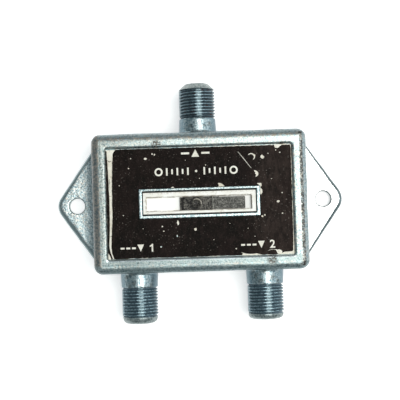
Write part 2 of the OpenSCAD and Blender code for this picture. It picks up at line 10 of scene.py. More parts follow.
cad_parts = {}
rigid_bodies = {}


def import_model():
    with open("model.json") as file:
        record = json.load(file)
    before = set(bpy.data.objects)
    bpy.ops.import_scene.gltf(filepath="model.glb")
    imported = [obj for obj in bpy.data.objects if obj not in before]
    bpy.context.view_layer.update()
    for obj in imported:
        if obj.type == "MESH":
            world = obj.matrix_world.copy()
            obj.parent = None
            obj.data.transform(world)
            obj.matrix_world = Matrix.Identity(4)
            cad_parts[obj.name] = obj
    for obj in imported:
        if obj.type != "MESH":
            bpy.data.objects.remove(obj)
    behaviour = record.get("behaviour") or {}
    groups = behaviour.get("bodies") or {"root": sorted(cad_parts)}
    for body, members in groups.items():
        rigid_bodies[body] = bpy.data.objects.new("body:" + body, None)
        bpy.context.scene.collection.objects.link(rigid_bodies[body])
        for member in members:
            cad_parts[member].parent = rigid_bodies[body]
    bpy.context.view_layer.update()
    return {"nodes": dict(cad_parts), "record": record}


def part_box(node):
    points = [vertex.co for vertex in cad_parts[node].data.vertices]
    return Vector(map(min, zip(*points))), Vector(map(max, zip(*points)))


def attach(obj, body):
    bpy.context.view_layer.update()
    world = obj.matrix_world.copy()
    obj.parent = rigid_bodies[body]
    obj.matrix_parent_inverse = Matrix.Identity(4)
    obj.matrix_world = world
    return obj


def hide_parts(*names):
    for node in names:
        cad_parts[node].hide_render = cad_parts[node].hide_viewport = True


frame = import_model()
nodes = frame["nodes"]
mounts = {mount["name"]: mount for mount in frame["record"]["mounts"]}
MM = 0.001
FULL_TURN = 2 * math.pi
X, Y, Z = range(3)
LOW, HIGH = range(2)


def cad_edge(node, end, axis):
    """Where a CAD node begins or ends along an axis, in millimetres."""
    return round(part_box(node)[end][axis] / MM, 2)


# the step from the body's outline to the cover's, and the radius of an ear's tip, in millimetres
COVER_INSET, EAR_TIP_R = 1.3, 4.2
# sizes that follow from the CAD model, in millimetres
BODY_W, BODY_D = [round(2 * (cad_edge("back_cover", HIGH, axis) + COVER_INSET), 2) for axis in (X, Y)]
BODY_H, COVER_Z = cad_edge("housing", HIGH, Z), cad_edge("back_cover", HIGH, Z)
BOARD_Z, RECESS_Z = cad_edge("switch_board", HIGH, Z), cad_edge("front_label", LOW, Z)
EAR_X = mounts["ear_holes"]["dims"]["spacing_x_mm"] / 2
EAR_HOLE_R = mounts["ear_holes"]["dims"]["hole_r_mm"]
EAR_TIP_X = round(cad_edge("housing", HIGH, X) - EAR_TIP_R, 2)
PORT_X, PORT_Z = [round(mounts["input_b_port"]["pos_m"][axis] / MM, 2) for axis in (X, Z)]

# sizes of the visual model, in millimetres
DRAFT = math.radians(2)
EDGE_R, WALL_T = 1.8, 2.1
RIM_W, RIM_INNER_R = 4.15, 0.7
RIGHT_BULGE, LOWER_BULGE = 0.3, 0.13
UPPER_RIM_IN, LEFT_RIM_IN = 0.22, 0.12
CEILING_Z, INTO_FRONT = 14.2, 0.4
LIP_Z, LIP_T = 16.9, 0.8
WINDOW_W, WINDOW_D, WINDOW_Y = 29.3, 6.285, -0.2225
CHANNEL_X, CHANNEL_LONG_HALF = -0.175, 13.475
CHANNEL_Y, CHANNEL_HALF = -0.465, 1.785
SLIDER_Y, HIGH_HALF_Y = -0.51, -0.54
PIP_X, STEP_X = -0.7, 3.2
COVER_EDGE = 1.25
SCREW_X, SCREW_Y = 23.9, 14.35
PILLAR_X, RIB_HALF, RIB_END = 18.45, 0.6, -7.1
EAR_T, EAR_ROOT_Y, PORT_ROOT_Y = 2, 16.35, 18.2
THREAD_PITCH, THREAD_DEPTH, THREAD_ROOT_R = 0.794, 0.49, 4.29
COLLAR_END, THREAD_END = 3.8, 11.4
# each port: place along X, side, radius and curve of its nose, distance of its end from the wall
PORTS = {"output": (0, 1, 4.68, 1.1, 13.05), "input_a": (-PORT_X, -1, 4.6, 2.2, 13.3),
         "input_b": (PORT_X, -1, 4.64, 2.5, 13.05)}


# meshes and objects

def linked(name, data):
    """A new object in the scene."""
    made = bpy.data.objects.new(name, data)
    bpy.context.scene.collection.objects.link(made)
    return made


def new_piece(name, mesh, material, sharp_over=None, body="case"):
    """A finished mesh as a piece on a CAD body: flat faces, or smooth ones between edges over an angle."""
    mesh.materials.clear()
    mesh.materials.append(material)
    if sharp_over:
        mesh.shade_smooth()
        mesh.set_sharp_from_angle(angle=math.radians(sharp_over))
    else:
        mesh.shade_flat()
    piece = linked(name, mesh)
    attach(piece, body)
    return piece


def mesh_from(name, points_mm, faces):
    """A mesh in metres from points in millimetres."""
    mesh = bpy.data.meshes.new(name)
    mesh.from_pydata([[c * MM for c in p] for p in points_mm], [], faces)
    mesh.validate()
    return mesh


def join_meshes(name, meshes):
    """One mesh that holds the faces of several."""
    joined = bmesh.new()
    for mesh in meshes:
        joined.from_mesh(mesh)
    data = bpy.data.meshes.new(name)
    joined.to_mesh(data)
    joined.free()
    return data


def outward(mesh, weld_mm=0.0005, sliver_mm=0.0002):
    """Welds points that lie on each other, drops faces of no area and turns every face outwards."""
    work = bmesh.new()
    work.from_mesh(mesh)
    bmesh.ops.remove_doubles(work, verts=work.verts, dist=weld_mm * MM)
    if sliver_mm:
        bmesh.ops.dissolve_degenerate(work, dist=sliver_mm * MM, edges=work.edges)
    bmesh.ops.recalc_face_normals(work, faces=work.faces)
    work.to_mesh(mesh)
    work.free()
    return mesh


def finished_by(data, *modifiers):
    """The plain mesh of a curve or mesh after modifiers, given as (kind, settings, inputs of a tree)."""
    worker = linked("worker", data)
    for kind, settings, inputs in modifiers:
        modifier = worker.modifiers.new(kind.lower(), kind)
        for key, value in settings.items():
            setattr(modifier, key, value)
        for identifier, value in inputs.items():
            modifier[identifier] = value
    bpy.context.view_layer.update()
    graph = bpy.context.evaluated_depsgraph_get()
    mesh = bpy.data.meshes.new_from_object(worker.evaluated_get(graph), depsgraph=graph)
    bpy.data.objects.remove(worker)
    return mesh


def moved(mesh, x_mm=0, y_mm=0, z_mm=0):
    mesh.transform(Matrix.Translation((x_mm * MM, y_mm * MM, z_mm * MM)))
    return mesh


# node trees

class Value:
    """An output of a node; plain arithmetic on it adds Math nodes to its tree."""

    def __init__(self, graph, socket):
        self.graph, self.socket = graph, socket

    def __add__(self, other):
        return self.graph.math("ADD", self, other)

    def __sub__(self, other):
        return self.graph.math("SUBTRACT", self, other)

    def __rsub__(self, other):
        return self.graph.math("SUBTRACT", other, self)

    def __mul__(self, other):
        return self.graph.math("MULTIPLY", self, other)

    def __truediv__(self, other):
        return self.graph.math("DIVIDE", self, other)

    def __abs__(self):
        return self.graph.math("ABSOLUTE", self)


class Graph:
    """What materials and geometry trees share: adding nodes, fed by numbers or by other nodes."""

    def add(self, kind, inputs=None, output=0, **settings):
        made = self.tree.nodes.new(kind)
        for key, setting in settings.items():
            setattr(made, key, setting)
        for key, entry in (inputs or {}).items():
            if isinstance(entry, Value):
                self.tree.links.new(entry.socket, made.inputs[key])
            else:
                made.inputs[key].default_value = entry
        return Value(self, made.outputs[output])

    def math(self, operation, a, b=0):
        return self.add("ShaderNodeMath", {0: a, 1: b}, operation=operation)

    def most(self, largest, *others):
        """The largest of several values."""
        for other in others:
            largest = self.math("MAXIMUM", largest, other)
        return largest

    def axes(self, vector):
        """The three coordinates of a vector."""
        split = self.add("ShaderNodeSeparateXYZ", {0: vector}).socket.node
        return [Value(self, output) for output in split.outputs]

    def step(self, value, low, high, unit=MM):
        """Runs smoothly from 0 at one value to 1 at another, both in millimetres."""
        inputs = {"Value": value, "From Min": low * unit, "From Max": high * unit}
        return self.add("ShaderNodeMapRange", inputs, interpolation_type="SMOOTHSTEP")

    def between(self, value, rise, top, edge, end):
        """Runs smoothly from 0 up to 1, and back to 0 further on."""
        return self.step(value, rise, top) * self.step(value, end, edge)


class Finish(Graph):
    """One procedural material on Object coordinates, painted layer by layer."""

    def __init__(self, name):
        self.material = bpy.data.materials.new(name)
        self.material.use_nodes = True
        self.tree = self.material.node_tree
        self.tree.nodes.clear()
        self.coords = self.add("ShaderNodeTexCoord", output="Object")

    def noise(self, size_mm, detail, roughness, distortion=0, stretch=None):
        """Soft clouds of a size, squeezed along the axes by a stretch."""
        vector = self.coords
        if stretch:
            vector = self.add("ShaderNodeMapping", {"Vector": vector, "Scale": stretch})
        inputs = {"Vector": vector, "Scale": 1 / MM / size_mm, "Detail": detail, "Roughness": roughness,
                  "Distortion": distortion}
        return self.add("ShaderNodeTexNoise", inputs)

    def cells(self, size_mm, feature="F1"):
        inputs = {"Vector": self.coords, "Scale": 1 / MM / size_mm}
        return self.add("ShaderNodeTexVoronoi", inputs, feature=feature)

    def ramp(self, value, start, end, low=0, high=1):
        """A grey that runs from low at one value to high at another."""
        made = self.add("ShaderNodeValToRGB", {"Fac": value})
        elements = made.socket.node.color_ramp.elements
        for element, place, grey in zip(elements, (start, end), (low, high)):
            element.position = place
            element.color = (grey, grey, grey, 1)
        return made

    def blotches(self, size_mm, detail, roughness, start, end, low=0, high=1, **more):
        """Noise with its contrast raised."""
        return self.ramp(self.noise(size_mm, detail, roughness, **more), start, end, low, high)

    def near(self, place_mm, radius_mm):
        """1 at a place, fading to 0 at a distance from it."""
        place = tuple(c * MM for c in place_mm)
        apart = self.add("ShaderNodeVectorMath", {0: self.coords, 1: place}, "Value", operation="DISTANCE")
        return self.step(apart, radius_mm, radius_mm * 0.35)

    def upturned(self, low, high):
        """Runs from 0 to 1 as the surface turns to face up."""
        normal = self.add("ShaderNodeNewGeometry", output="True Normal")
        return self.step(self.axes(normal)[2], low, high, 1)

    def mix(self, share, a, b):
        """Colour a where the share is 0, colour b where it is 1."""
        colours = {key: c if isinstance(c, Value) else (*c, 1) for key, c in ((6, a), (7, b))}
        return self.add("ShaderNodeMix", {0: share, **colours}, 2, data_type="RGBA")

    def paint(self, mask, colour):
        """Lays one more colour over the material."""
        self.colour = self.mix(mask, self.colour, colour)

    def toned(self, dark, light):
        return self.mix(self.tone, dark, light)

    def wash(self, mask, dark, light):
        """Lays a mottled colour over the material."""
        self.paint(mask, self.toned(dark, light))

    def bump(self, height, distance_mm, strength, **more):
        inputs = {"Height": height, "Distance": distance_mm * MM, "Strength": strength, **more}
        return self.add("ShaderNodeBump", inputs)

    def shade(self, **sockets):
        """Ends the material in a Principled shader."""
        inputs = {key.replace("_", " "): value for key, value in sockets.items()}
        shader = self.add("ShaderNodeBsdfPrincipled", {"Base Color": self.colour, **inputs})
        out = self.tree.nodes.new("ShaderNodeOutputMaterial")
        self.tree.links.new(shader.socket, out.inputs[0])
        return self.material


class NodeGroup(Graph):
    """A Geometry Nodes tree with named inputs, built node by node."""

    def __init__(self, name):
        self.tree = bpy.data.node_groups.new(name, "GeometryNodeTree")
        self.ids = {}
        self.source = self.tree.nodes.new("NodeGroupInput")
        self.sink = self.tree.nodes.new("NodeGroupOutput")
        for in_out in ("INPUT", "OUTPUT"):
            self.tree.interface.new_socket("Geometry", in_out=in_out, socket_type="NodeSocketGeometry")

    def value(self, name, default, kind="Float"):
        """One more named input of the tree."""
        socket = self.tree.interface.new_socket(name, in_out="INPUT", socket_type="NodeSocket" + kind)
        if kind != "Material":
            socket.default_value = default
        self.ids[name] = (socket.identifier, default)
        return Value(self, self.source.outputs[name])

    def given(self):
        """The mesh that the tree is run on."""
        return Value(self, self.source.outputs[0])

    def faded(self, a, b, share):
        """Value a, replaced by b as the share goes to 1."""
        return a * (1 - share) + b * share

    def finish(self, geometry, material):
        """Ends the tree in Realize Instances and Set Material."""
        real = self.add("GeometryNodeRealizeInstances", {0: geometry})
        dressed = self.add("GeometryNodeSetMaterial", {"Geometry": real, "Material": material})
        self.tree.links.new(dressed.socket, self.sink.inputs[0])

    def run(self, base_mesh, **changed):
        """Applies the tree to a mesh and returns the plain result; names in changed take other values."""
        inputs = {identifier: changed.get(name.replace(" ", "_"), default)
                  for name, (identifier, default) in self.ids.items()}
        return finished_by(base_mesh, ("NODES", {"node_group": self.tree}, inputs))


# materials

def darker(colour, share):
    return tuple(c * share for c in colour)


def cast_zinc():
    """Plated zinc casting: bright on the ears and lip, mottled and dulled where hands have rubbed it, with
    painted highlights and painted shade on the rim, walls and ears.
    """
    f = Finish("case_zinc")
    x, y, up = f.axes(f.coords)
    across, along = abs(x), abs(y)
    mottle, specks = f.noise(0.5, 3, 0.72), f.noise(0.32, 2, 0.5)
    f.tone = f.ramp(mottle, 0.39, 0.58)
    tint = f.blotches(0.62, 2, 0.6, 0.4, 0.6, distortion=0.5)

    def tinted(cool, warm):
        return f.mix(tint, cool, warm)

    f.colour = f.toned((0.19, 0.27, 0.29), tinted((0.37, 0.5, 0.52), (0.56, 0.53, 0.46)))
    f.wash(f.blotches(2.6, 4, 0.65, 0.47, 0.64, high=0.85, distortion=0.6),
           (0.13, 0.16, 0.17), tinted((0.34, 0.43, 0.47), (0.5, 0.46, 0.4)))
    f.paint(f.blotches(0.9, 3, 0.6, 0.58, 0.66, high=0.5), (0.52, 0.44, 0.35))
    # the rim: a mottled band without plating, a dulled left strip and a grey lower slope, with painted
    # highlights on the right crest and the inner lower edge, and painted shade on the left crest and where
    # the lower slope turns down
    on_rim = f.step(up, 11.5, 15.2)
    left, right = f.step(x, -24.9, -26), f.step(x, 24.9, 26)
    top, bottom = f.step(y, 15.4, 16.4), f.step(y, -15.4, -16.4)
    outline = f.most(across - (BODY_W - BODY_D) / 2 * MM, along) + (left * (0.5 * MM) - right * (0.38 * MM))
    band = f.between(outline, 15.8, 16.1, 16.6, 16.95) * on_rim
    share = f.most(left * 0.9, top * 0.85, right * 0.95, bottom * 0.22)
    worn = band * share * f.blotches(0.6, 3, 0.7, 0.36, 0.56, 0.25)
    outer, crest = f.step(outline, 15.95, 16.4) * on_rim, f.step(outline, 16.1, 15.8) * on_rim
    dull = outer * f.most(left * 0.85, top * 0.6, right * 0.5)
    f.paint(dull, f.mix(left, f.toned((0.19, 0.24, 0.26), (0.3, 0.37, 0.4)),
                        tinted((0.065, 0.08, 0.085), (0.215, 0.198, 0.178))))
    # painted highlight: the right crest is lit lighter
    f.wash(crest * right * 0.75, (0.165, 0.22, 0.235), tinted((0.49, 0.56, 0.57), (0.5, 0.47, 0.42)))
    # painted shade: the left crest is darker
    f.wash(crest * f.step(x, -23.5, -24.1) * 0.75, (0.06, 0.085, 0.085), (0.345, 0.385, 0.37))
    f.wash(crest * f.step(y, -14, -14.5) * 0.8, (0.13, 0.175, 0.18), (0.265, 0.32, 0.32))
    f.wash(outer * bottom * 0.75, (0.17, 0.235, 0.25), (0.34, 0.43, 0.44))
    # painted shade where the lower slope turns down
    shaded_turned_down_slope = f.step(outline, 17, 17.55) * on_rim * bottom
    f.wash(shaded_turned_down_slope * 0.9, (0.075, 0.105, 0.115), (0.2, 0.26, 0.27))
    # painted highlight along the inner edge of the lower rim
    inner_edge_highlight = f.between(y, -15, -14.75, -14.4, -14.2) * f.step(across, 24.3, 24) * on_rim
    f.paint(inner_edge_highlight * 0.8, (0.84, 0.92, 0.94))
    f.wash(crest * f.step(y, 14, 14.5) * 0.35, (0.3, 0.36, 0.36), (0.56, 0.6, 0.57))
    f.paint(worn, tinted((0.12, 0.135, 0.14), f.mix(right, (0.25, 0.205, 0.155), (0.35, 0.33, 0.29))))
    f.paint(band * right * f.blotches(0.55, 2, 0.75, 0.46, 0.53, high=0.95), (0.035, 0.034, 0.032))
    # the walls, clouded, with painted shade on the left, and the lip and ears with a cleaner skin, most of
    # all on the side of input B, where the ear is also painted as a highlight
    flat, underside = f.upturned(0.95, 0.99), f.upturned(-0.9, -0.98)
    clouds = f.mix(f.blotches(1.5, 4, 0.62, 0.36, 0.66, distortion=0.5),
                   (0.17, 0.225, 0.24), (0.33, 0.395, 0.41))
    # painted shade: the walls on the left, below x -27, are darker
    f.paint(f.step(up, 14.6, 12.2) * (1 - flat) * 0.76,
            f.mix(f.step(x, -27, -27.5), clouds, f.toned((0.1, 0.15, 0.175), (0.24, 0.32, 0.345))))
    low = f.step(up, 3.4, 2.6) * flat
    on_ear = f.step(across, 28.2, 29.4) * low
    clean_highlit_right_ear = on_ear * f.step(x, 0, 1)
    f.wash(on_ear * 0.75, (0.33, 0.48, 0.54), tinted((0.78, 0.92, 0.95), (0.93, 0.86, 0.78)))
    # painted highlight: the ear on the side of input B is painted almost white, and keeps fewer specks
    f.paint(clean_highlit_right_ear * 0.95, (0.92, 0.95, 0.95))
    lip = f.step(across, 15.9, 15.7) * f.step(along, 4.4, 4.25) * f.step(up, 16.2, 16.5)
    f.paint(lip * 0.8, f.mix(f.step(y, 1.5, 2.5), f.toned((0.2, 0.31, 0.34), (0.66, 0.76, 0.76)),
                             f.toned((0.14, 0.215, 0.24), (0.46, 0.54, 0.55))))
    # painted shade: the walls inside the window below the lip are nearly black
    window_wall_shade = f.step(across, 15.1, 15) * f.step(along, 3.7, 3.6) * f.step(up, 16.55, 16.1)
    f.paint(window_wall_shade, (0.03, 0.036, 0.04))
    # painted shade on the ears' sloped edges, darker on the right ear
    edge = f.step(across, 28.6, 29) * f.step(up, 2.6, 2.3) * (1 - f.most(flat, underside))
    f.paint(edge * 0.9, f.mix(f.step(x, -1, 1), (0.31, 0.385, 0.395), (0.16, 0.2, 0.21)))
    # painted shadow of the body on the left ear next to its wall
    wall_foot_darkening = f.step(x, -32.2, -29.6) * f.step(x, 0, -1) * low
    f.wash(wall_foot_darkening * 0.85, (0.025, 0.045, 0.06), (0.15, 0.21, 0.23))
    f.paint(f.ramp(specks, 0.64, 0.71, high=0.85) * (1 - clean_highlit_right_ear * 0.85), (0.03, 0.032, 0.032))
    # places on the rim where the skin is knocked through
    knocks = [((-10.7, 14.75, 16.75), 1.9), ((21.2, 13.9, 16.6), 1.3), ((23.7, 12.9, 16.7), 1.2),
              ((18.1, -15.3, 16.9), 1.9)]
    torn = f.most(*[f.near(*knock) for knock in knocks]) * f.blotches(0.42, 2, 0.7, 0.42, 0.54)
    f.paint(torn, (0.075, 0.06, 0.05))
    height = mottle + f.ramp(f.cells(0.6), 0, 0.3) * 0.25 - torn * 0.6
    return f.shade(Metallic=0.95 - dull * 0.6, Roughness=mottle * 0.3 + worn * 0.15 + 0.17,
                   Normal=f.bump(specks, 0.04, 0.5, Normal=f.bump(height, 0.12, 0.55)))


def threaded_zinc():
    """The ports: the same casting, rubbed along the top and painted light there as a highlight, with grey in
    the thread's roots.
    """
    f = Finish("port_zinc")
    x, y, z = f.axes(f.coords)
    spacing = PORT_X * MM
    beside = x - f.math("ROUND", x / spacing) * spacing
    above = z - PORT_Z * MM
    from_axis = f.math("SQRT", beside * beside + above * above)
    from_wall = abs(y) - PORT_ROOT_Y * MM
    on_thread = f.step(from_wall, COLLAR_END - 0.05, COLLAR_END + 0.05)
    on_nose = f.step(from_wall, THREAD_END + 0.05, THREAD_END + 0.2)
    output = f.step(y, 0, 1)
    mottle = f.noise(0.5, 3, 0.68)
    f.tone = f.ramp(mottle, 0.38, 0.6)
    # the plain collar: dirty on top, with painted shade along its flanks
    dirt = f.blotches(1.7, 3, 0.65, 0.46, 0.6, high=0.75) * f.step(abs(beside), 4.3, 3.3)
    f.colour = f.toned((0.15, 0.23, 0.27), (0.44, 0.53, 0.55))
    f.wash(dirt, (0.045, 0.06, 0.062), (0.23, 0.245, 0.235))
    # painted shade along the collar's flanks
    f.paint(f.step(abs(beside), 3, 4.2) * 0.72, (0.1, 0.165, 0.205))
    # the thread: flecked crests, darker roots, rust at the output and a rubbed strip along the top, painted
    # light as a highlight
    fleck = f.blotches(0.42, 3, 0.75, 0.42, 0.56)
    crest = f.mix(output * 0.35, f.mix(fleck, (0.045, 0.085, 0.11), (0.25, 0.36, 0.41)), (0.12, 0.15, 0.17))
    grey = f.mix(output, f.mix(fleck, (0.055, 0.09, 0.115), (0.105, 0.155, 0.19)),
                 f.mix(fleck, (0.028, 0.044, 0.058), (0.075, 0.105, 0.13)))
    rust = f.blotches(1.1, 2, 0.5, 0.56, 0.64, high=0.8) * output
    depth = f.ramp((from_axis - THREAD_ROOT_R * MM) / (THREAD_DEPTH * MM), 0.1, 0.75, 1, 0)
    thread = f.mix(depth, crest, f.mix(rust, grey, (0.08, 0.022, 0.012)))
    # a rubbed strip along the top, painted light as a highlight on the thread and near white on the collar
    rub_and_highlight = f.between(beside, -0.35, 0.15, 1.05, 1.55) * f.step(above, 2, 3)
    rub_and_highlight = rub_and_highlight * f.blotches(0.6, 3, 0.75, 0.4, 0.56, 0.15)
    thread = f.mix(rub_and_highlight * 0.75, thread, f.toned((0.17, 0.25, 0.275), (0.42, 0.52, 0.55)))
    nose = f.mix(output, f.toned((0.1, 0.13, 0.135), (0.3, 0.35, 0.35)),
                 f.toned((0.12, 0.15, 0.155), (0.35, 0.39, 0.38)))
    f.paint(rub_and_highlight * f.tone * 0.75, (0.84, 0.92, 0.94))
    f.paint(on_thread, f.mix(on_nose, thread, nose))
    return f.shade(Metallic=0.95 - on_thread * 0.3, Roughness=mottle * 0.25 + 0.2,
                   Normal=f.bump(mottle * (1 - on_thread * 0.65), 0.12, 0.65))


def satin_steel(name, base, along):
    """Zinc-plated sheet or screw steel with a drawn grain, small scratches and dulled patches."""
    f = Finish(name)
    drawn, cloud = f.noise(1.2, 4, 0.7, stretch=along), f.noise(5, 3, 0.6)
    f.colour = f.mix(f.ramp(cloud, 0.35, 0.7), base, darker(base, 0.62))
    f.paint(f.ramp(drawn, 0.52, 0.75, high=0.5), darker(base, 0.45))
    return f.shade(Metallic=0.95, Roughness=drawn * 0.22 + cloud * 0.25 + 0.12,
                   Normal=f.bump(drawn, 0.015, 0.5))


def label_film():
    """Brown-black printed film: almost no sheen, scuffs and pinholes that show the cream under it."""
    f = Finish("label_film")
    cloud, fibre = f.noise(6, 4, 0.6), f.noise(0.38, 2, 0.6)
    worn = f.noise(1.6, 3, 0.7, stretch=(1.5, 0.6, 1))
    f.colour = f.mix(f.ramp(cloud, 0.4, 0.6), (0.005, 0.004, 0.0033), (0.0105, 0.007, 0.0061))
    f.paint(f.ramp(worn, 0.48, 0.66, high=0.8), (0.019, 0.0123, 0.0112))
    faded = f.step(f.axes(f.coords)[0], 11, 17) * f.ramp(worn, 0.38, 0.62, 0.2, 0.9)
    f.paint(faded, (0.034, 0.024, 0.0205))
    f.paint(f.ramp(fibre, 0.52, 0.8, high=0.7), (0.036, 0.025, 0.021))
    scuffed, dust = f.blotches(4.5, 3, 0.6, 0.46, 0.62), f.blotches(0.4, 1, 0.4, 0.66, 0.74)
    f.paint(dust * (scuffed * 0.55 + 0.1), (0.2, 0.18, 0.16))
    return f.shade(Roughness=cloud * 0.25 + 0.5, Normal=f.bump(fibre, 0.02, 0.5), Specular_IOR_Level=0.06)


def aged_print(name, base, dirt, grain_mm):
    """Cream paper or ink, browned unevenly and rubbed thin in places."""
    f = Finish(name)
    fine = f.noise(grain_mm, 2, 0.6)
    f.colour = f.mix(f.blotches(2.5, 4, 0.65, 0.38, 0.72, high=0.8), base, dirt)
    f.paint(f.ramp(fine, 0.6, 0.78, high=0.75), darker(dirt, 0.35))
    return f.shade(Roughness=fine * 0.3 + 0.5, Normal=f.bump(fine, 0.02, 0.6))


def guide_plastic():
    """White moulding, yellowed a little, with brown streaks darker where the channel's walls meet its floor,
    and painted shade under the lip, at the channel's end and on its lower parts.
    """
    f = Finish("guide_plastic")
    x, y, z = f.axes(f.coords)
    cloud, fine = f.noise(2.6, 4, 0.6), f.noise(0.3, 2, 0.6)
    beside, across = abs(y - CHANNEL_Y * MM), abs(x - CHANNEL_X * MM)
    f.colour = f.mix(f.ramp(cloud, 0.4, 0.72, high=0.75), (0.97, 0.96, 0.92), (0.82, 0.78, 0.67))
    in_channel = f.step(beside, CHANNEL_HALF - 0.02, CHANNEL_HALF - 0.18) * f.step(across, 13.46, 13.3)
    f.paint(in_channel, (1, 1, 0.98))
    from_middle = f.most(across - (CHANNEL_LONG_HALF - CHANNEL_HALF) * MM, beside)
    streaks = f.blotches(0.75, 3, 0.7, 0.4, 0.56, high=0.85, stretch=(0.4, 1, 1))
    # brown streaks, darker along the foot of the channel's walls
    wall_foot_darkening = f.step(abs(from_middle - CHANNEL_HALF * MM), 0.34, 0) * streaks
    f.paint(wall_foot_darkening * (f.upturned(0.3, 0.7) * 0.65 + 0.35), (0.26, 0.21, 0.15))
    # painted shade: a dark line at the channel's right end wall
    end_wall_shade = f.step(abs(x - 13.32 * MM), 0.13, 0.05) * f.step(beside, 1.8, 1.6)
    f.paint(end_wall_shade, (0.16, 0.14, 0.11))
    edge_dirt = f.step(beside, 2.35, 2.75) * f.blotches(0.6, 2, 0.6, 0.45, 0.65, high=0.5)
    f.paint(edge_dirt, (0.42, 0.38, 0.3))
    # painted shade in the gap under the lip's upper edge
    shade_under_lip = f.step(y, 2.4, 2.55) * f.blotches(0.9, 3, 0.65, 0.36, 0.6, 0.45)
    f.paint(shade_under_lip * 0.85, (0.27, 0.25, 0.2))
    # painted shade: the moulding's lower parts below the lip are nearly black
    f.paint(f.step(z, 15.35, 14.7), (0.022, 0.02, 0.018))
    rubbed = f.blotches(0.5, 2, 0.6, 0.62, 0.7, high=0.6, stretch=(0.35, 1, 1))
    f.paint(rubbed * (1 - in_channel * 0.8), (0.46, 0.4, 0.3))
    return f.shade(Roughness=cloud * 0.2 + 0.34, Normal=f.bump(fine + cloud, 0.03, 0.4))


def slider_plastic(name, base, rubbed, grain_mm, depth_mm):
    """Black moulding, rubbed grey by fingers, with painted shade in the end groove and painted highlights on
    the pip's arc and the step's edge.
    """
    f = Finish(name)
    x, y, _ = f.axes(f.coords)
    cloud, fine = f.noise(1.3, 3, 0.65), f.noise(0.34, 2, 0.6)
    f.colour = f.mix(f.ramp(cloud * 0.5 + fine * 0.6, 0.5, 0.66), base, rubbed)
    # painted shade in the end groove
    painted_groove_shade = f.between(x, -4.72, -4.6, -4.15, -4)
    f.paint(painted_groove_shade * 0.9, (0.002, 0.002, 0.002))
    pip_x, pip_y = x - PIP_X * MM, y - SLIDER_Y * MM
    from_pip = f.math("SQRT", pip_x * pip_x + pip_y * pip_y)
    # painted highlight: a bright arc on the pip's upper right side
    lit = f.step(pip_y + pip_x * 0.6, 0.1, 0.7) * f.ramp(fine, 0.35, 0.6, 0.55)
    f.paint(f.between(from_pip, 1.02, 1.1, 1.2, 1.3) * lit, (0.62, 0.57, 0.49))
    shadow = f.between(from_pip, 1.32, 1.4, 1.6, 1.95) * f.step(pip_x, 0.4, -0.6)
    f.paint(shadow * 0.85, (0.003, 0.003, 0.003))
    # painted highlight on the step's edge
    step_edge_highlight = f.between(x, 3.24, 3.32, 3.46, 3.6) * f.ramp(fine, 0.38, 0.55, 0.2, 0.9)
    f.paint(step_edge_highlight, (0.4, 0.39, 0.35))
    return f.shade(Roughness=cloud * 0.3 + 0.32, Specular_IOR_Level=0.2,
                   Normal=f.bump(f.cells(grain_mm, "SMOOTH_F1"), depth_mm, 0.7))


def plain_finish(name, base, dirt, size_mm=2, metallic=0, rough=0.4):
    """Inner pieces: one colour, clouded and dirtied, with a fine surface."""
    f = Finish(name)
    cloud, fine = f.noise(size_mm, 4, 0.6), f.noise(size_mm * 0.15, 2, 0.6)
    f.colour = f.mix(f.ramp(cloud, 0.35, 0.75, high=0.9), base, dirt)
    f.paint(f.ramp(fine, 0.6, 0.75, high=0.4), darker(dirt, 0.5))
    return f.shade(Metallic=metallic, Roughness=cloud * 0.3 + (rough - 0.12), Normal=f.bump(fine, 0.02, 0.4))


def laminate():
    """Brown phenolic board with the weave of its paper."""
    f = Finish("board_laminate")
    weave, cloud = f.noise(0.6, 3, 0.6, stretch=(0.25, 1, 1)), f.noise(5, 3, 0.5)
    f.colour = f.mix(f.ramp(weave, 0.35, 0.7), (0.2, 0.095, 0.035), (0.33, 0.18, 0.08))
    f.paint(f.ramp(cloud, 0.4, 0.7, high=0.6), (0.12, 0.055, 0.02))
    return f.shade(Roughness=cloud * 0.3 + 0.3, Normal=f.bump(weave, 0.02, 0.4))


ZINC = cast_zinc()
PORT_ZINC = threaded_zinc()
COVER_STEEL = satin_steel("cover_steel", (0.52, 0.53, 0.53), (1, 14, 14))
SCREW_STEEL = satin_steel("screw_steel", (0.58, 0.58, 0.57), (1, 1, 6))
FILM = label_film()
BACKING = aged_print("label_backing", (0.9, 0.87, 0.77), (0.62, 0.55, 0.42), 0.5)
INK = aged_print("label_ink", (0.9, 0.88, 0.79), (0.66, 0.62, 0.52), 0.35)
GUIDE = guide_plastic()
SLIDER_LOW = slider_plastic("slider_low", (0.008, 0.0075, 0.007), (0.16, 0.15, 0.13), 0.5, 0.04)
SLIDER_HIGH = slider_plastic("slider_high", (0.045, 0.044, 0.04), (0.23, 0.225, 0.205), 0.3, 0.06)
CARRIER = plain_finish("carrier_plastic", (0.03, 0.03, 0.03), (0.07, 0.065, 0.06))
BRONZE = plain_finish("spring_bronze", (0.62, 0.36, 0.17), (0.36, 0.19, 0.08), 1.2, 1, 0.3)
CONTACT = plain_finish("contact_metal", (0.78, 0.75, 0.68), (0.48, 0.42, 0.32), 1, 1, 0.32)
INSULATOR = plain_finish("insulator_plastic", (0.8, 0.77, 0.66), (0.58, 0.52, 0.4), 1.8)
TINNED = plain_finish("tinned_wire", (0.7, 0.7, 0.68), (0.42, 0.42, 0.4), 0.8, 1, 0.34)
LAMINATE = laminate()


# shapes from rings of points

def toward(a, b, t):
    """The point at a share t of the way from a to b."""
    return tuple(a[k] + (b[k] - a[k]) * t for k in range(3))


def quarter_round(radius, steps):
    """Points along a quarter round, as pairs: what is left to go one way, what is gone the other way."""
    angles = [math.pi / 2 * i / steps for i in range(steps + 1)]
    return [(radius * (1 - math.sin(a)), radius * (1 - math.cos(a))) for a in angles]


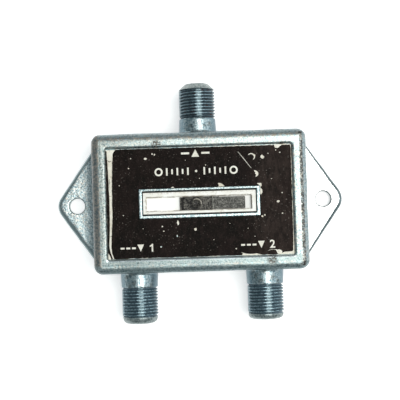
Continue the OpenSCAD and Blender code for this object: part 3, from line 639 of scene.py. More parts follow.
def circle(x, y, radius, z, sides):
    """Points of a level circle, counter-clockwise."""
    return [(x + radius * math.cos(FULL_TURN * i / sides), y + radius * math.sin(FULL_TURN * i / sides), z)
            for i in range(sides)]


def box_ring(half_x, half_y, corner_r, z, per_x=44, per_y=28, per_corner=10):
    """Points of one round-cornered rectangle at height z, counter-clockwise, always the same number."""
    corner_r = min(corner_r, half_x - 0.01, half_y - 0.01)
    arcs = []
    for sx, sy, start in ((1, -1, -90), (1, 1, 0), (-1, 1, 90), (-1, -1, 180)):
        cx, cy = sx * (half_x - corner_r), sy * (half_y - corner_r)
        angles = [math.radians(start + 90 * i / per_corner) for i in range(per_corner + 1)]
        arcs.append([(cx + corner_r * math.cos(a), cy + corner_r * math.sin(a), z) for a in angles])
    ring = []
    for arc, following, count in zip(arcs, arcs[1:] + arcs[:1], (per_y, per_x, per_y, per_x)):
        ring += arc + [toward(arc[-1], following[0], i / count) for i in range(1, count)]
    return ring


def skin(rings, closed=True):
    """Faces between rings of equal length; closed joins the last ring to the first."""
    count = len(rings[0])
    points = [p for ring in rings for p in ring]
    faces = []
    for r in range(len(rings) if closed else len(rings) - 1):
        a, b = r * count, ((r + 1) % len(rings)) * count
        for i in range(count):
            j = (i + 1) % count
            faces.append((a + i, a + j, b + j, b + i))
    return points, faces


def capped(rings):
    """A closed solid between its first ring and its last."""
    points, faces = skin(rings, closed=False)
    count = len(rings[0])
    faces += [tuple(range(count)), tuple(len(points) - 1 - i for i in range(count))]
    return outward(mesh_from("capped", points, faces))


def turned(x, y, profile, sides):
    """A turned shape on an upright axis, from pairs of radius and height."""
    return capped([circle(x, y, r, z, sides) for r, z in profile])


def slab(low, high):
    """A plain block between two corners, for the rib in the cavity and the slider's stem."""
    (x0, y0, z0), (x1, y1, z1) = low, high
    points = [(x, y, z) for z in (z0, z1) for y in (y0, y1) for x in (x0, x1)]
    faces = [(0, 2, 3, 1), (4, 5, 7, 6), (0, 1, 5, 4), (2, 6, 7, 3), (0, 4, 6, 2), (1, 3, 7, 5)]
    return outward(mesh_from("slab", points, faces))


def roughen(mesh, amount_mm, size_mm, keep):
    """Moves points along their normals by smooth noise, as a casting's skin wanders."""
    normals = [v.normal.copy() for v in mesh.vertices]
    for vertex, normal in zip(mesh.vertices, normals):
        at = vertex.co / (size_mm * MM)
        vertex.co += normal * (noise.noise(at) * amount_mm * MM * keep(vertex.co / MM))


# the casting

def case_shell():
    """One closed skin: back edge, drafted walls, round rim, recess, window opening and cavity."""
    half_w, half_d = BODY_W / 2, BODY_D / 2
    fillet_z = BODY_H - EDGE_R
    reach = (EDGE_R + fillet_z * math.sin(DRAFT)) / math.cos(DRAFT)
    crest_r = 0.4
    corner = crest_r + reach
    lip_share_y, lip_drop = 0.797, 0.072

    def share(value, low, high):
        return max(0, min(1, (value - low) / (high - low)))

    def inset_ring(inset, z, radius=None):
        ring = box_ring(half_w - inset, half_d - inset, corner - inset if radius is None else radius, z)
        if z < 1.2 and inset > 0.5:
            return ring
        if inset > RIM_W - 0.75:
            return [(x + LEFT_RIM_IN * share(-x, 22, 23.5), y - UPPER_RIM_IN * share(y, 12.5, 13.9), h)
                    for x, y, h in ring]
        return [(x + RIGHT_BULGE * share(x, 24.4, 27.4), y - LOWER_BULGE * share(-y, 14.9, 17.9), h)
                for x, y, h in ring]

    def window_ring(grow, z, radius):
        ring = box_ring(WINDOW_W / 2 + grow, WINDOW_D / 2 + grow * lip_share_y, radius, z)
        return [(x, y + WINDOW_Y - grow * lip_drop, h) for x, y, h in ring]

    # back edge, walls and the round of the rim
    rings = [inset_ring(COVER_EDGE, 0.12), inset_ring(COVER_EDGE - 0.1, 0), inset_ring(0.3, 0)]
    rings += [inset_ring(0.3 * (1 - math.sin(a)), 0.3 * (1 - math.cos(a))) for a in (0.5, 1, 1.5)]
    rings += [inset_ring(z * math.tan(DRAFT), z) for z in (1.2, 3, 5, 7, 9, 11, 13, 14.4)]
    for step in range(13):
        a = DRAFT + (math.pi / 2 - DRAFT) * step / 12
        rings.append(inset_ring(reach - EDGE_R * math.cos(a), fillet_z + EDGE_R * math.sin(a)))
    rings.append(inset_ring(reach + 0.5, BODY_H, 0.7))
    for step, (left, gone) in enumerate(quarter_round(RIM_INNER_R, 8)):
        rings.append(inset_ring(RIM_W - left, BODY_H - gone, 0.95 - 0.35 * step / 8))
    # floor of the recess
    rings += [inset_ring(RIM_W + 0.02, RECESS_Z + 0.03, 0.55), inset_ring(RIM_W + 0.1, RECESS_Z, 0.5)]
    outer = (half_w - RIM_W - 0.1, half_d - RIM_W - 0.1)
    inner = (WINDOW_W / 2 + LIP_T + 0.08, WINDOW_D / 2 + LIP_T + 0.08)
    for t in (0.3, 0.65):
        rings.append(box_ring(*[a + (b - a) * t for a, b in zip(outer, inner)], 0.4, RECESS_Z))
    # lip around the window
    rings += [window_ring(LIP_T + 0.08, RECESS_Z, 0.3), window_ring(LIP_T + 0.02, RECESS_Z + 0.05, 0.25)]
    rings += [window_ring(LIP_T - gone, LIP_Z - left, 0.22) for left, gone in quarter_round(0.16, 4)]
    rings += [window_ring(left, LIP_Z - gone, 0.15) for left, gone in quarter_round(0.12, 4)]
    rings += [window_ring(0, RECESS_Z, 0.15), window_ring(0, CEILING_Z, 0.15)]
    # cavity
    cavity = (half_w - WALL_T, half_d - WALL_T)
    rings.append(box_ring((cavity[0] + WINDOW_W / 2) / 2, (cavity[1] + WINDOW_D / 2) / 2, 1, CEILING_Z))
    rings.append(box_ring(cavity[0] - 0.3, cavity[1] - 0.3, 1, CEILING_Z))
    rings += [box_ring(*cavity, 1.2, z) for z in (CEILING_Z - 0.3, 7, COVER_Z)]
    rings.append(inset_ring(COVER_EDGE, COVER_Z))
    shell = outward(mesh_from("shell", *skin(rings)))

    def outside(p):
        deep = abs(p.x) < cavity[0] + 0.1 and abs(p.y) < cavity[1] + 0.1 and p.z < CEILING_Z + 0.1
        in_window = abs(p.x) < WINDOW_W / 2 + 1.2 and abs(p.y) < WINDOW_D / 2 + 1.2
        return 0 if deep or p.z < 1.3 else (0.35 if in_window else 1)

    roughen(shell, 0.1, 7, outside)
    roughen(shell, 0.035, 1.6, outside)
    return shell


def ray_to_outline(outline, centre, angle):
    """Distance from a centre to a closed outline along an angle."""
    dx, dy = math.cos(angle), math.sin(angle)
    best = None
    for (ax, ay), (bx, by) in zip(outline, outline[1:] + outline[:1]):
        ex, ey = bx - ax, by - ay
        cross = dx * ey - dy * ex
        if abs(cross) < 1e-9:
            continue
        px, py = ax - centre[0], ay - centre[1]
        along = (px * ey - py * ex) / cross
        share = (px * dy - py * dx) / cross
        if along > 0 and -1e-6 <= share <= 1 + 1e-6 and (best is None or along < best):
            best = along
    return best


def ear_outline(inset, side):
    """Outline of an ear, drawn on the right: root inside the wall, two tangents and a round tip."""
    root_x, root_y, tip_r = BODY_W / 2, EAR_ROOT_Y - inset, EAR_TIP_R - inset
    reach = math.hypot(root_x - EAR_TIP_X, root_y)
    touch = math.atan2(root_y, root_x - EAR_TIP_X) - math.acos(tip_r / reach)
    inner_x = root_x - 0.25 + (RIGHT_BULGE if side > 0 else 0)
    root = [(inner_x, root_y)] + ([(root_x, root_y)] if inner_x < root_x else [])
    angles = [touch - 2 * touch * i / 20 for i in range(21)]
    arc = [(EAR_TIP_X + tip_r * math.cos(a), tip_r * math.sin(a)) for a in angles]
    return root + arc + [(x, -y) for x, y in reversed(root)]


def ear(side):
    """One mounting ear as rings around its hole: worn bevel, dimpled top and a soft hole edge."""
    around = 160
    widths = [0, 0.1, 0.36, 0.7, 0.95, 1.18] if side < 0 else [0, 0.08, 0.28, 0.56, 0.78, 1]
    heights = [1.25, 1.45, 1.68, 1.88, 1.97, EAR_T]
    lower_extra = 0.35 if side < 0 else 0.15

    def outline_ring(inset, z, extra=0):
        ring = []
        for i in range(around):
            a = FULL_TURN * i / around
            outline = ear_outline(inset * (1 + max(0, -math.sin(a)) * extra), side)
            d = ray_to_outline(outline, (EAR_X, 0), a)
            ring.append((side * (EAR_X + d * math.cos(a)), d * math.sin(a), z))
        return ring

    def hole_ring(extra_r, z):
        return [(side * x, y, h) for x, y, h in circle(EAR_X, 0, EAR_HOLE_R + extra_r, z, around)]

    rings = [outline_ring(0.35, 0), outline_ring(0.12, 0), outline_ring(0, 0.12)]
    rings += [outline_ring(width, height, lower_extra) for width, height in zip(widths, heights)]
    edge, rim = rings[-1], hole_ring(0.55, EAR_T)
    rings += [[toward(a, b, t) for a, b in zip(edge, rim)] for t in (0.15, 0.35, 0.55, 0.75, 0.9)] + [rim]
    rings += [hole_ring(left, EAR_T - gone) for left, gone in quarter_round(0.28, 5)]
    rings += [hole_ring(0, 0.9), hole_ring(0, 0.15), hole_ring(0.15, 0), hole_ring(0.4, 0)]
    mesh = outward(mesh_from("ear", *skin(rings)))
    roughen(mesh, 0.06, 2.2, lambda p: 1 if p.z > 1 else 0)
    roughen(mesh, 0.03, 0.8, lambda p: 1 if p.z > 1.5 else 0)
    return mesh


def wall_fillet(side):
    """Concave fillet where an ear meets the drafted wall."""
    size, spans = 0.8, 60
    wall = BODY_W / 2 - EAR_T * math.tan(DRAFT) + (RIGHT_BULGE if side > 0 else 0)
    rings = []
    for s in range(spans + 1):
        place = 2 * s / spans - 1
        y = (EAR_ROOT_Y - 0.5) * place
        width = size * min(1, (1 - abs(place)) * 14 + 0.08)
        profile = [(wall - 0.3, EAR_T - 0.3), (wall + width, EAR_T - 0.3), (wall + width, EAR_T)]
        profile += [(wall + left, EAR_T + gone) for left, gone in quarter_round(width, 6)[1:-1]]
        profile += [(wall - 0.03, EAR_T + width), (wall - 0.3, EAR_T + width)]
        rings.append([(side * x, y, z) for x, z in profile])
    return capped(rings)


def post(x, y, radius, low):
    """A round boss inside the cavity, sunk into the front wall."""
    bevel = 0.15
    return turned(x, y, [(radius - bevel, low), (radius, low + bevel), (radius, CEILING_Z + INTO_FRONT)], 40)


def build_case():
    bosses = [post(sx * SCREW_X, sy * SCREW_Y, 2.3, COVER_Z) for sx in (-1, 1) for sy in (-1, 1)]
    pillars = [post(side * PILLAR_X, 0, 2.1, BOARD_Z) for side in (-1, 1)]
    rib = slab((-RIB_HALF, 1.2 - BODY_D / 2, COVER_Z), (RIB_HALF, RIB_END, CEILING_Z + INTO_FRONT))
    meshes = [case_shell(), ear(1), ear(-1), wall_fillet(1), wall_fillet(-1), rib] + bosses + pillars
    case = new_piece("cast_case", join_meshes("cast_case", meshes), ZINC, 50)
    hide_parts("housing")


build_case()


# threaded ports, by Geometry Nodes

def port_profile(nose_base, nose_curve, tip):
    """Half outline of a port as (radius, distance from the wall), from the cavity out and back, closed."""
    collar_r, foot_r, nose_r, bore_r = 4.81, 4.92, 3.1, 2.3
    nose_start = THREAD_END + 0.12
    outer = [(5.55, -0.9), (5.5, -0.12), (5.22, 0.02), (5.04, 0.16), (4.94, 0.36), (foot_r, 0.62)]
    outer += [(foot_r + (collar_r - foot_r) * i / 12, 0.62 + (COLLAR_END - 0.75) * i / 12)
              for i in range(1, 12)]
    outer += [(collar_r, COLLAR_END - 0.16), (collar_r - 0.04, COLLAR_END - 0.05),
              (collar_r - 0.14, COLLAR_END), (THREAD_ROOT_R + 0.08, COLLAR_END + 0.04),
              (THREAD_ROOT_R, COLLAR_END + 0.14)]
    steps, start = 156, COLLAR_END + 0.2
    outer += [(THREAD_ROOT_R, start + (THREAD_END - start) * i / steps) for i in range(1, steps + 1)]
    outer += [(nose_base - 0.06, THREAD_END + 0.05), (nose_base, nose_start)]
    for i in range(1, 15):
        t = i / 14
        bulge = math.sin(t * 1.45) / math.sin(1.45) if nose_curve > 2 else t
        radius = nose_base - (nose_base - nose_r) * t ** nose_curve
        outer.append((radius, nose_start + (tip - nose_start) * bulge))
    bore = [(nose_r - 0.12, tip + 0.02), (2.52, tip + 0.02), (2.38, tip - 0.03), (bore_r, tip - 0.14),
            (bore_r, tip - 1.1), (2.36, tip - 1.2), (3.3, tip - 1.2), (3.3, -1.6), (4.6, -1.6)]
    return outer + bore


def build_ports():
    """Each port is its outline swept round by the tree, which raises a right-hand thread on it."""
    g = NodeGroup("threaded_port")
    turns = g.value("Points around", 128, "Int")
    count = g.value("Points in the outline", len(port_profile(*PORTS["output"][2:])), "Int")
    pitch = g.value("Thread pitch", THREAD_PITCH * MM)
    depth = g.value("Thread depth", THREAD_DEPTH * MM)
    start = g.value("Thread start", 4.0 * MM)
    end = g.value("Thread end", 11.45 * MM)
    run_out = g.value("Run-out length", 0.5 * MM)
    flat_at = g.value("Radius of the filled parting line", 4.7 * MM)
    grain = g.value("Casting unevenness", 0.05 * MM)
    metal = g.value("Metal", PORT_ZINC, "Material")
    upward = g.value("Side that faces the front", 1.0)
    rubbed_r = g.value("Radius of the rubbed strip", 4.57 * MM)
    root_r = g.value("Radius of the roots", THREAD_ROOT_R * MM)
    # a grid whose columns go round the port and whose rows take their place from the outline
    grid = g.add("GeometryNodeMeshGrid", {"Vertices X": turns + 1, "Vertices Y": count + 1})
    index, place = g.add("GeometryNodeInputIndex"), g.add("GeometryNodeInputPosition")
    column = g.math("FLOOR", (index + 0.5) / (count + 1))
    row = g.math("MODULO", index - column * (count + 1), count)
    sampled = g.add("GeometryNodeSampleIndex", {"Geometry": g.given(), "Value": place, "Index": row},
                    data_type="FLOAT_VECTOR")
    radius, _, along = g.axes(sampled)
    share = g.math("MODULO", column, turns) / turns
    angle = share * FULL_TURN
    sine, cosine = g.math("SINE", angle), g.math("COSINE", angle)
    # the thread rises from the roots between its two run-outs, on the outer side only
    phase = g.math("FRACT", (along - start) / pitch - share)
    ridge = g.step(abs(phase - 0.5), 0.44, 0.12, 1)
    widest_inside = 3.6 * MM
    threaded = g.math("GREATER_THAN", radius, widest_inside)
    for length in (along - start, end - along):
        run = g.add("ShaderNodeMapRange", {"Value": length, "From Min": 0, "From Max": run_out})
        threaded = run * threaded
    raised = radius + ridge * threaded * depth
    # a strip along the top is rubbed low, and the parting line at one side is filled
    strip_across, strip_up = 0.13, 0.9915
    strip = g.step(cosine * strip_across + sine * upward * strip_up, 0.972, 0.99, 1)
    raised = g.faded(raised, rubbed_r + (raised - root_r) * 0.3, strip * threaded)
    parting = g.step(cosine * -1, 0.86, 0.96, 1)
    radius = g.faded(raised, flat_at, parting * threaded)
    where = g.add("ShaderNodeCombineXYZ", {0: radius * cosine, 1: radius * sine, 2: along})
    shaped = g.add("GeometryNodeSetPosition", {"Geometry": grid, "Position": where})
    welded = g.add("GeometryNodeMergeByDistance", {"Geometry": shaped, "Distance": 0.004 * MM})
    uneven = g.add("ShaderNodeTexNoise", {"Vector": place, "Scale": 520, "Detail": 2})
    offset = g.add("ShaderNodeVectorMath",
                   {0: g.add("GeometryNodeInputNormal"), "Scale": (uneven - 0.5) * grain}, operation="SCALE")
    g.finish(g.add("GeometryNodeSetPosition", {"Geometry": welded, "Offset": offset}), metal)
    for name, (x_mm, side, *shape) in PORTS.items():
        outline = mesh_from("port_outline", [(r, 0, z) for r, z in port_profile(*shape)], [])
        mesh = g.run(outline, Side_that_faces_the_front=float(-side))
        mesh.transform(Matrix.Rotation(math.radians(-90 * side), 4, "X"))
        mesh = outward(moved(mesh, x_mm, side * PORT_ROOT_Y, PORT_Z))
        new_piece("port_" + name, mesh, PORT_ZINC, 60)


build_ports()


# CAD nodes with softened edges

def softened(node, width_mm):
    """A merged copy of a CAD node's mesh with its sharp edges rounded."""
    work = bmesh.new()
    work.from_mesh(nodes[node].data)
    bmesh.ops.remove_doubles(work, verts=work.verts, dist=0.0005 * MM)
    bmesh.ops.dissolve_limit(work, angle_limit=math.radians(1.5), verts=work.verts, edges=work.edges)
    mesh = bpy.data.meshes.new(node + "_soft")
    work.to_mesh(mesh)
    work.free()
    bevel = {"width": width_mm * MM, "segments": 3, "limit_method": "ANGLE", "angle_limit": math.radians(30),
             "use_clamp_overlap": True, "harden_normals": False}
    return outward(finished_by(mesh, ("BEVEL", bevel, {}), ("TRIANGULATE", {}, {})))


# places on the guide, in pairs: where the solid has them and where they lie in its face
GUIDE_X = [(-14.42, -14.42), (-13.45, -13.8), (-13.2, -13.55), (-12, -12)]
GUIDE_Y = [(-2.82, -2.99), (-2.65, -2.82), (-1.75, -2.35), (-1.65, -2.25), (-1.55, -2.13), (-1.15, -1.15),
           (1.15, 1.15), (1.55, 1.25), (1.65, 1.32), (1.75, 1.42), (2.65, 2.38), (2.82, 2.55)]


def looked_up(value, pairs):
    """Reads a value off a line through pairs; outside the pairs it stays as it is."""
    for (a, to_a), (b, to_b) in zip(pairs, pairs[1:]):
        if a <= value <= b:
            return to_a + (to_b - to_a) * (value - a) / (b - a)
    return value


def seat_guide(mesh):
    """Lets the face of the guide sit low in its window, with a narrow frame below the channel."""
    flange_top = 13.9
    for vertex in mesh.vertices:
        if vertex.co.z > flange_top * MM:
            vertex.co.x = looked_up(vertex.co.x / MM, GUIDE_X) * MM
            vertex.co.y = looked_up(vertex.co.y / MM, GUIDE_Y) * MM


def build_softened():
    for name, node, width, material, slot in (
            ("guide_moulding", "slide_guide", 0.1, GUIDE, "guide_plastic"),
            ("cover_plate", "back_cover", 0.14, COVER_STEEL, "cover_steel")):
        mesh = softened(node, width)
        if node == "slide_guide":
            seat_guide(mesh)
        piece = new_piece(name, mesh, material, 12)
        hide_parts(node)


build_softened()


# cover screws, by Geometry Nodes

def screw_head():
    """A countersunk head with a cross recess, on its shank, drawn head down at the origin."""
    body = turned(0, 0, [(0.02, 0), (1.55, 0), (1.78, 0.05), (1.88, 0.16), (1.86, 0.24), (1.02, 1),
                         (0.98, 5.6), (0.6, 5.95), (0.02, 6)], 48)
    cutters = [linked("cutter", slab((-x, -y, -0.3), (x, y, 0.6))) for x, y in ((0.22, 1.05), (1.05, 0.22))]
    cuts = [("BOOLEAN", {"operation": "DIFFERENCE", "object": cutter, "solver": "EXACT"}, {})
            for cutter in cutters]
    head = finished_by(body, *cuts)
    for cutter in cutters:
        bpy.data.objects.remove(cutter)
    return head


def build_cover_screws():
    """Four equal screws stood on the corners of a rectangle, each turned by a seeded amount."""
    g = NodeGroup("cover_screws")
    wide = g.value("Spacing along X", 2 * SCREW_X * MM)
    deep = g.value("Spacing along Y", 2 * SCREW_Y * MM)
    low = g.value("Height of the heads", 0.15 * MM)
    seed = g.value("Seed", 7, "Int")
    metal = g.value("Metal", SCREW_STEEL, "Material")
    corners = g.add("GeometryNodeMeshGrid",
                    {"Size X": wide, "Size Y": deep, "Vertices X": 2, "Vertices Y": 2})
    lift = g.add("ShaderNodeCombineXYZ", {2: low})
    raised = g.add("GeometryNodeSetPosition", {"Geometry": corners, "Offset": lift})
    turn = g.add("FunctionNodeRandomValue", {"Max": (0, 0, 3.14), "Seed": seed}, data_type="FLOAT_VECTOR")
    placed = {"Points": raised, "Instance": g.given(), "Rotation": turn}
    g.finish(g.add("GeometryNodeInstanceOnPoints", placed), metal)
    screws = new_piece("cover_screw_set", g.run(screw_head()), SCREW_STEEL, 35)
    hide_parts("cover_screws")


build_cover_screws()


# slider

def slider_block(x0, x1, half_y, z0, z1, r=0.12, across=16):
    """A moulded block with rounded upper edges, as rings of its outline from bottom to top."""
    cx, hx = (x0 + x1) / 2, (x1 - x0) / 2

    def ring(shrink, z):
        return [(x + cx, y, h) for x, y, h in box_ring(hx - shrink, half_y - shrink, 0.16, z, across, 6, 4)]

    top = [ring(gone, z1 - left) for left, gone in quarter_round(r, 4)]
    return capped([ring(0.04, z0), ring(0, z0 + 0.04)] + top)


def build_slider():
    """Low half with a dished finger pip and an end groove, high half with a grained top."""
    floor, low_top, high_top = 15.55, 16.05, 16.35
    half_y, high_half_y = 1.68, 1.51
    x0, x1 = -5.05, 11.68
    pip_profile = [(1.27, -0.12), (1.26, 0.18), (1.22, 0.32), (1.15, 0.41), (1.06, 0.45), (0.96, 0.43),
                   (0.86, 0.33), (0.66, 0.18), (0.3, 0.13), (0.02, 0.12)]
    low = [slider_block(x0, x0 + 0.42, half_y, floor, low_top),
           slider_block(x0 + 0.3, x0 + 1, half_y - 0.03, floor, low_top - 0.26, 0.05),
           slider_block(x0 + 0.85, STEP_X + 0.3, half_y, floor, low_top, across=28),
           turned(PIP_X, 0, [(r, low_top + h) for r, h in pip_profile], 64)]
    high = slider_block(STEP_X + 0.12, x1, high_half_y, floor, high_top, 0.1, across=30)
    stem = slab((1.55, -1, 12.1), (4.95, 1, floor + 0.2))
    low_mesh = join_meshes("slider_low_half", [moved(join_meshes("low", low), 0, SLIDER_Y), stem])
    half = new_piece("slider_low_half", low_mesh, SLIDER_LOW, 40, "slide")
    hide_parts("slider")
    new_piece("slider_high_half", moved(high, 0, HIGH_HALF_Y), SLIDER_HIGH, 40, "slide")


build_slider()


# label: backing, film, marks

def flat_shape(outlines, z0, z1, soft=0.015):
    """A thin sheet between two heights, from closed outlines: the first is its edge, the others are holes."""
    curve = bpy.data.curves.new("sheet", "CURVE")
    curve.dimensions = "2D"
    curve.fill_mode = "BOTH"
    for outline in outlines:
        spline = curve.splines.new("POLY")
        spline.points.add(len(outline) - 1)
        for point, (x, y) in zip(spline.points, outline):
            point.co = (x * MM, y * MM, 0, 1)
        spline.use_cyclic_u = True
    curve.extrude = max((z1 - z0) / 2 - soft, 0.001) * MM
    curve.bevel_depth = soft * MM
    curve.bevel_resolution = 1
    curve.offset = -soft * MM
    return outward(moved(finished_by(curve), z_mm=(z0 + z1) / 2), 0.0002, 0)


def digit(text, x, y, tall, z0, z1):
    """A plain number as a thin sheet of ink."""
    curve = bpy.data.curves.new("digit", "FONT")
    curve.body = text
    curve.size = tall * 1.42 * MM
    curve.align_x = "CENTER"
    curve.extrude = (z1 - z0) / 2 * MM
    curve.resolution_u = 6
    curve.offset = 0.05 * MM
    mesh = finished_by(curve)
    lowest = min(v.co.y for v in mesh.vertices) / MM
    return outward(moved(mesh, x, y - tall / 2 - lowest, (z0 + z1) / 2))


def ragged(outline, amount, pitch, seed):
    """Walks a closed outline in short steps and lets every step wander, as torn or worn film does."""
    rng = random.Random(seed)
    result = []
    for (ax, ay), (bx, by) in zip(outline, outline[1:] + outline[:1]):
        length = math.hypot(bx - ax, by - ay)
        steps = max(1, int(length / pitch))
        nx, ny = -(by - ay) / max(length, 1e-9), (bx - ax) / max(length, 1e-9)
        for i in range(steps):
            t = i / steps
            wander = (rng.random() - 0.5) * 2 * amount * (0 if i == 0 else 1)
            result.append((ax + (bx - ax) * t + nx * wander, ay + (by - ay) * t + ny * wander))
    return result


def chip(x, y, wide, tall, seed, points=11):
    """Outline of one chip in the film: an uneven blob."""
    rng = random.Random(seed)
    lean = rng.random() * FULL_TURN
    return [(x + wide / 2 * (0.7 + 0.6 * rng.random()) * math.cos(FULL_TURN * i / points + lean),
             y + tall / 2 * (0.7 + 0.6 * rng.random()) * math.sin(FULL_TURN * i / points + lean))
            for i in range(points)]


# chips in the film: place, width and height
CHIPS = [
    (-13.57, 11.29, 0.75, 0.55), (-11.75, 12.45, 0.35, 0.5), (-11.15, 12.25, 0.35, 0.45),
    (-17.28, 11.46, 0.3, 0.28), (-17.9, 8.9, 0.36, 0.34), (-19.56, -3.07, 0.28, 0.28),
    (-9.67, -6.2, 0.45, 0.35), (-9.32, -7.4, 0.42, 0.3), (-5.65, -5.35, 0.5, 1.5), (-1.2, -7.15, 0.7, 0.8),
    (-5.92, -8.71, 0.3, 0.5), (-10.12, -11.34, 0.45, 0.45), (9.04, -12.39, 0.35, 0.35),
    (20.1, -0.64, 0.7, 0.6), (21.2, 1.55, 0.34, 0.3), (21.1, -3.7, 0.4, 0.32), (16.42, 10.84, 0.8, 0.95),
    (1.87, 9.21, 0.28, 0.3), (0.17, 5.85, 0.26, 0.26), (17.9, 11.7, 0.25, 0.3), (12.2, -7.3, 0.25, 0.22),
    (3.4, -9.9, 0.24, 0.22), (-14.6, -6.6, 0.22, 0.24), (18.6, 5.2, 0.26, 0.2), (-3.3, 10.6, 0.2, 0.22),
    (7.6, -5.9, 0.22, 0.2), (-20.4, 4.6, 0.24, 0.3), (13.9, -9.4, 0.2, 0.26), (20.9, 11.9, 0.42, 0.3),
    (19.9, 12.5, 0.3, 0.42), (16.6, -4.05, 0.42, 0.4), (15.95, -4.3, 0.55, 0.5),
]
# outlines of the larger places where the film is gone
CURVED_CHIP = [(14.15, 7.5), (14.6, 7.45), (15, 7.2), (15.3, 6.75), (15.25, 6.25), (14.95, 5.95), (14.6, 5.8),
               (14.5, 5.95), (14.75, 6.3), (14.55, 6.5), (14.4, 6.75), (14.55, 6.95), (14.3, 7.15)]
RING_SCUFF = [(12.75, 11.45), (13, 11.75), (13.5, 11.9), (13.95, 11.85), (14.35, 11.6), (14.75, 11.35),
              (14.6, 11.2), (14.6, 10.9), (14.45, 10.5), (14.15, 10.2), (14, 10.3), (14.25, 10.65),
              (14.3, 11), (14.1, 11.3), (13.75, 11.6), (13.35, 11.65), (13, 11.45)]
# outlines of film that is torn up from the backing
RIM_TEAR = [(19.5, 13.95), (19.55, 13.5), (19.75, 13.05), (20.4, 13), (20.7, 13.15), (20.95, 13.45),
            (21.3, 13.6), (21.4, 13.95)]
LOWER_TEAR = [(17, -13.22), (17.4, -12.98), (17.9, -12.84), (18.5, -12.8), (19.1, -12.86), (19.5, -13),
              (19.9, -12.92), (20.3, -13.02), (20.6, -13.25), (20.75, -13.55), (20.5, -13.9), (19.9, -14.08),
              (19.5, -13.85), (19.3, -13.4), (19.1, -13.05), (18.6, -12.86), (18, -12.9), (17.5, -13.02)]
# outlines of a light scratch in the film, and of thin remains of film on the bare backing
SCRATCH = [(10.15, 12.4), (10.22, 12.42), (11.9, 10.3), (13.52, 8.1), (13.44, 8.06), (11.78, 10.2)]
FILM_REMAINS = [
    [(-23.25, 11.4), (-23.15, 10.95), (-22.85, 10.68), (-22.1, 10.95), (-22.5, 10.93), (-22.85, 10.86),
     (-23.05, 11.05)],
    [(-23.2, 2), (-22.3, 1.86), (-23.2, 1.9)], [(-23.3, -8.3), (-22.8, -8.2), (-22.6, -8.4), (-22.85, -8.3)],
    [(-22.95, 6.4), (-22.75, 2.6), (-22.85, 6.3)]]


def label_marks():
    """Outlines of plain marks: arrows, dashes, rings, ticks and the number 1."""
    marks = []
    middle_x, row_y, input_y = -0.62, 7.75, -11.5
    output_x, output_y = -0.7, 12.35

    def bar(x, y, wide, tall):
        w, t = wide / 2, tall / 2
        marks.append([[(x - w, y - t), (x + w, y - t), (x + w, y + t), (x - w, y + t)]])

    def ring(x, *radii):
        marks.append([[point[:2] for point in circle(x, row_y, r, 0, 28)] for r in radii])

    def arrow(x, y, wide, tall):
        w, t = wide / 2, tall / 2
        marks.append([[(x - w, y - t), (x + w, y - t), (x, y + t)]])

    # output: an arrow between two dashes
    arrow(output_x, output_y, 2, 1.9)
    for side in (-1, 1):
        bar(output_x + side * 2.6, output_y, 2.1, 0.5)
    # the row above the window: a scale of ticks between two rings, with a dot in the middle
    for side in (-1, 1):
        ring(middle_x + side * 9.6, 1.05, 0.62)
        for i in range(5):
            bar(middle_x + side * (2.1 + 1.35 * i), row_y, 0.42, 1.9 if i % 2 == 0 else 1.25)
    ring(middle_x, 0.3)
    # inputs: dashes and an arrow that point down at the port
    for x in (-16.1, 14.7):
        for i in range(3):
            bar(x - 3.9 + 1.45 * i, input_y, 1, 0.45)
        arrow(x + 0.75, input_y, 1.7, -1.8)
    # the number 1, drawn as a stroke with a flag
    one = [(0.16, -1), (0.16, 1), (-0.14, 1), (-0.34, 0.74), (-0.68, 0.52), (-0.68, 0.22), (-0.22, 0.42),
           (-0.22, -1)]
    marks.append([[(x - 12.35, y + input_y) for x, y in one[::-1]]])
    return marks


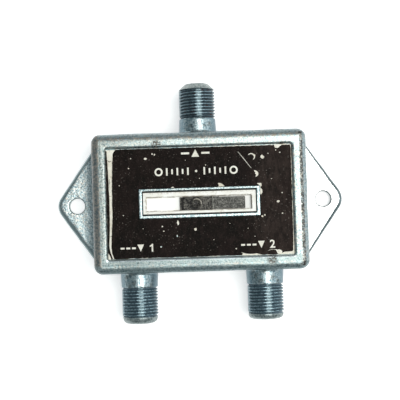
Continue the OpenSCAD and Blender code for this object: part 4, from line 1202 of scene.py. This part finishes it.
def build_label():
    """Cream backing, the worn film on it with its chips, curled tears, and marks printed on top."""
    floor, paper_top, film_top, ink_top = RECESS_Z, 16.27, 16.355, 16.37
    left, right, low, high = -23.68, 23.8, -14.12, 13.88
    film_floor, ink_floor, thin = paper_top - 0.01, film_top - 0.005, 0.003
    window = [(-15.62, -4.2), (15.62, -4.2), (15.62, 3.6), (-15.62, 3.6)]
    paper = [(left, high - 0.1), (right, high + 0.04), (right, low), (left, low)]
    backing = flat_shape([ragged(paper, 0.03, 0.9, 3), window], floor, paper_top)
    piece = new_piece("label_backing", backing, BACKING)
    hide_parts("front_label")
    peel = [(-21.1, 13.85), (-21.45, 13.45), (-21.8, 12.9), (-21.88, 12), (-21.95, 11.1), (-22.08, 10.5),
            (-22.18, 8.1), (-22.3, 4.3), (-22.34, 0.5), (-22.33, -1.8), (-22.39, -4), (-22.63, -7.1),
            (-22.85, -10.8), (-22.7, -12.7), (-22.2, low)]
    bottom = [(23.3, -13.45), (22.2, -13.55), (21.2, -13.6), (20.4, -13.9), (19, low), (15.6, low),
              (14.3, -13.75), (12.6, -13.85), (11.4, -13.7), (10.2, -13.35), (10.7, -13.7), (10.4, low)]
    film_edge = [(-21.2, high), (23.5, high - 0.1), (23.7, 13.3), (23.72, 9.8), (23.66, -9.4), (23.56, -13.1)]
    film_edge += bottom + peel[::-1]
    # a sliver of dark film along the left edge, partly real film and partly a dark sheet standing in as
    # painted shadow of the recess wall
    film_sliver_and_shadow = [(left, high - 0.3), (-23.42, 13.5), (-23.37, 11.9), (-23.18, 8.1), (-23.1, 4.3), (-23.02, 0.5),
              (-23.05, -3.3), (-23.16, -7), (-23.34, -10.8), (-23.12, -12.3), (-22.75, -13.4), (-22.5, low),
              (-22.95, low), (-23.3, -13.2), (left, -12.6)]
    window_edge = [(-15.5, -4.15), (15.55, -4.15), (15.55, 1.25), (15.86, 1.3), (16.2, 1.75), (16.1, 2.55),
                   (15.75, 2.9), (15.7, 3.3), (16.05, 3.45), (15.95, 4.2), (15.5, 4.15), (15, 4.2),
                   (14.8, 4), (15.3, 3.85), (15.2, 3.57), (6.6, 3.56), (6.25, 4), (5.7, 4.4), (5.1, 4.55),
                   (4.85, 4.4), (5.1, 3.9), (4.9, 3.56), (-6.3, 3.56), (-6.6, 3.95), (-7, 3.8),
                   (-7.2, 3.56), (-15.5, 3.56)]
    holes = [ragged(window_edge, 0.07, 0.5, 5), CURVED_CHIP, RING_SCUFF]
    holes += [chip(*place, 20 + i) for i, place in enumerate(CHIPS)]
    film = [flat_shape([ragged(film_edge, 0.06, 0.45, 9)] + holes, film_floor, film_top),
            flat_shape([ragged(film_sliver_and_shadow, 0.03, 0.5, 4)], film_floor, film_top)]
    film += [flat_shape([remains], film_floor, paper_top + 0.02, thin) for remains in FILM_REMAINS]
    curls = [flat_shape([ragged(tear, 0.03, 0.3, 30 + i)], film_top - 0.01, film_top + 0.035)
             for i, tear in enumerate((LOWER_TEAR, RIM_TEAR))]
    ink = [flat_shape(outlines, ink_floor, ink_top, thin) for outlines in label_marks() + [[SCRATCH]]]
    ink.append(digit("2", 18.3, -11.45, 2, ink_floor, ink_top))
    for name, sheets, material in (("label_film_sheet", film, FILM), ("label_torn_edge", curls, BACKING),
                                   ("label_marks", ink, INK)):
        new_piece(name, join_meshes(name, sheets), material)


build_label()


# finishes of the CAD nodes that stay

def dress(material, *names):
    for name in names:
        mesh = nodes[name].data
        mesh.materials.clear()
        mesh.materials.append(material)


dress(CARRIER, "contact_carrier")
dress(BRONZE, "wiper_contact", "detent_spring")
dress(LAMINATE, "switch_board")
dress(SCREW_STEEL, "board_screws", "board_washers")
dress(CONTACT, "common_strip", "input_a_strip", "input_b_strip", "terminal_rivets",
      "socket_output", "socket_input_a", "socket_input_b")
dress(INSULATOR, "insulator_output", "insulator_input_a", "insulator_input_b")
dress(TINNED, "lead_output", "lead_input_a", "lead_input_b")


# floor, light and camera

def build_floor():
    f = Finish("floor_paper")
    f.colour = f.mix(f.blotches(60, 2, 0.5, 0.3, 0.7), (0.9, 0.905, 0.91), (0.93, 0.93, 0.93))
    size, below = 1500, -0.02
    corners = [(-size, -size, below), (size, -size, below), (size, size, below), (-size, size, below)]
    mesh = mesh_from("floor", corners, [(0, 1, 2, 3)])
    mesh.materials.append(f.shade(Roughness=0.85, Specular_IOR_Level=0.1,
                                  Emission_Color=(1, 1, 1, 1), Emission_Strength=0.5))
    floor = linked("floor", mesh)


def area_light(name, place, aim, size, power, colour):
    light = bpy.data.lights.new(name, "AREA")
    light.shape = "RECTANGLE"
    light.size, light.size_y = size
    light.energy = power
    light.color = colour
    lamp = linked(name, light)
    lamp.location = place
    lamp.rotation_euler = (Vector(aim) - Vector(place)).to_track_quat("-Z", "Y").to_euler()


def build_lights():
    area_light("key_softbox", (0.185, 0, 0.62), (0, 0, 0), (0.45, 0.42), 3, (1, 0.985, 0.945))
    area_light("side_fill", (0.55, 0.05, 0.26), (0, 0, 0.01), (0.35, 0.25), 0.6, (0.95, 0.98, 1))
    world = bpy.data.worlds.new("studio")
    world.use_nodes = True
    background = world.node_tree.nodes["Background"]
    background.inputs[0].default_value = (0.83, 0.95, 0.98, 1)
    background.inputs[1].default_value = 0.34
    bpy.context.scene.world = world


def build_camera():
    """The photograph's view: almost straight down, a little from below and rolled to the left."""
    camera = bpy.data.cameras.new("camera")
    camera.sensor_width = 36
    camera.lens = 82.9
    camera.clip_start, camera.clip_end = 0.01, 10
    holder = linked("camera", camera)
    turn = (Matrix.Rotation(0.00909, 4, "Y") @ Matrix.Rotation(0.02573, 4, "X")
            @ Matrix.Rotation(-0.03117, 4, "Z"))
    holder.matrix_world = Matrix.Translation((0.002288, -0.005757, 0.251666)) @ turn
    bpy.context.scene.camera = holder
    bpy.context.scene.view_settings.view_transform = "Standard"


build_floor()
build_lights()
build_camera()
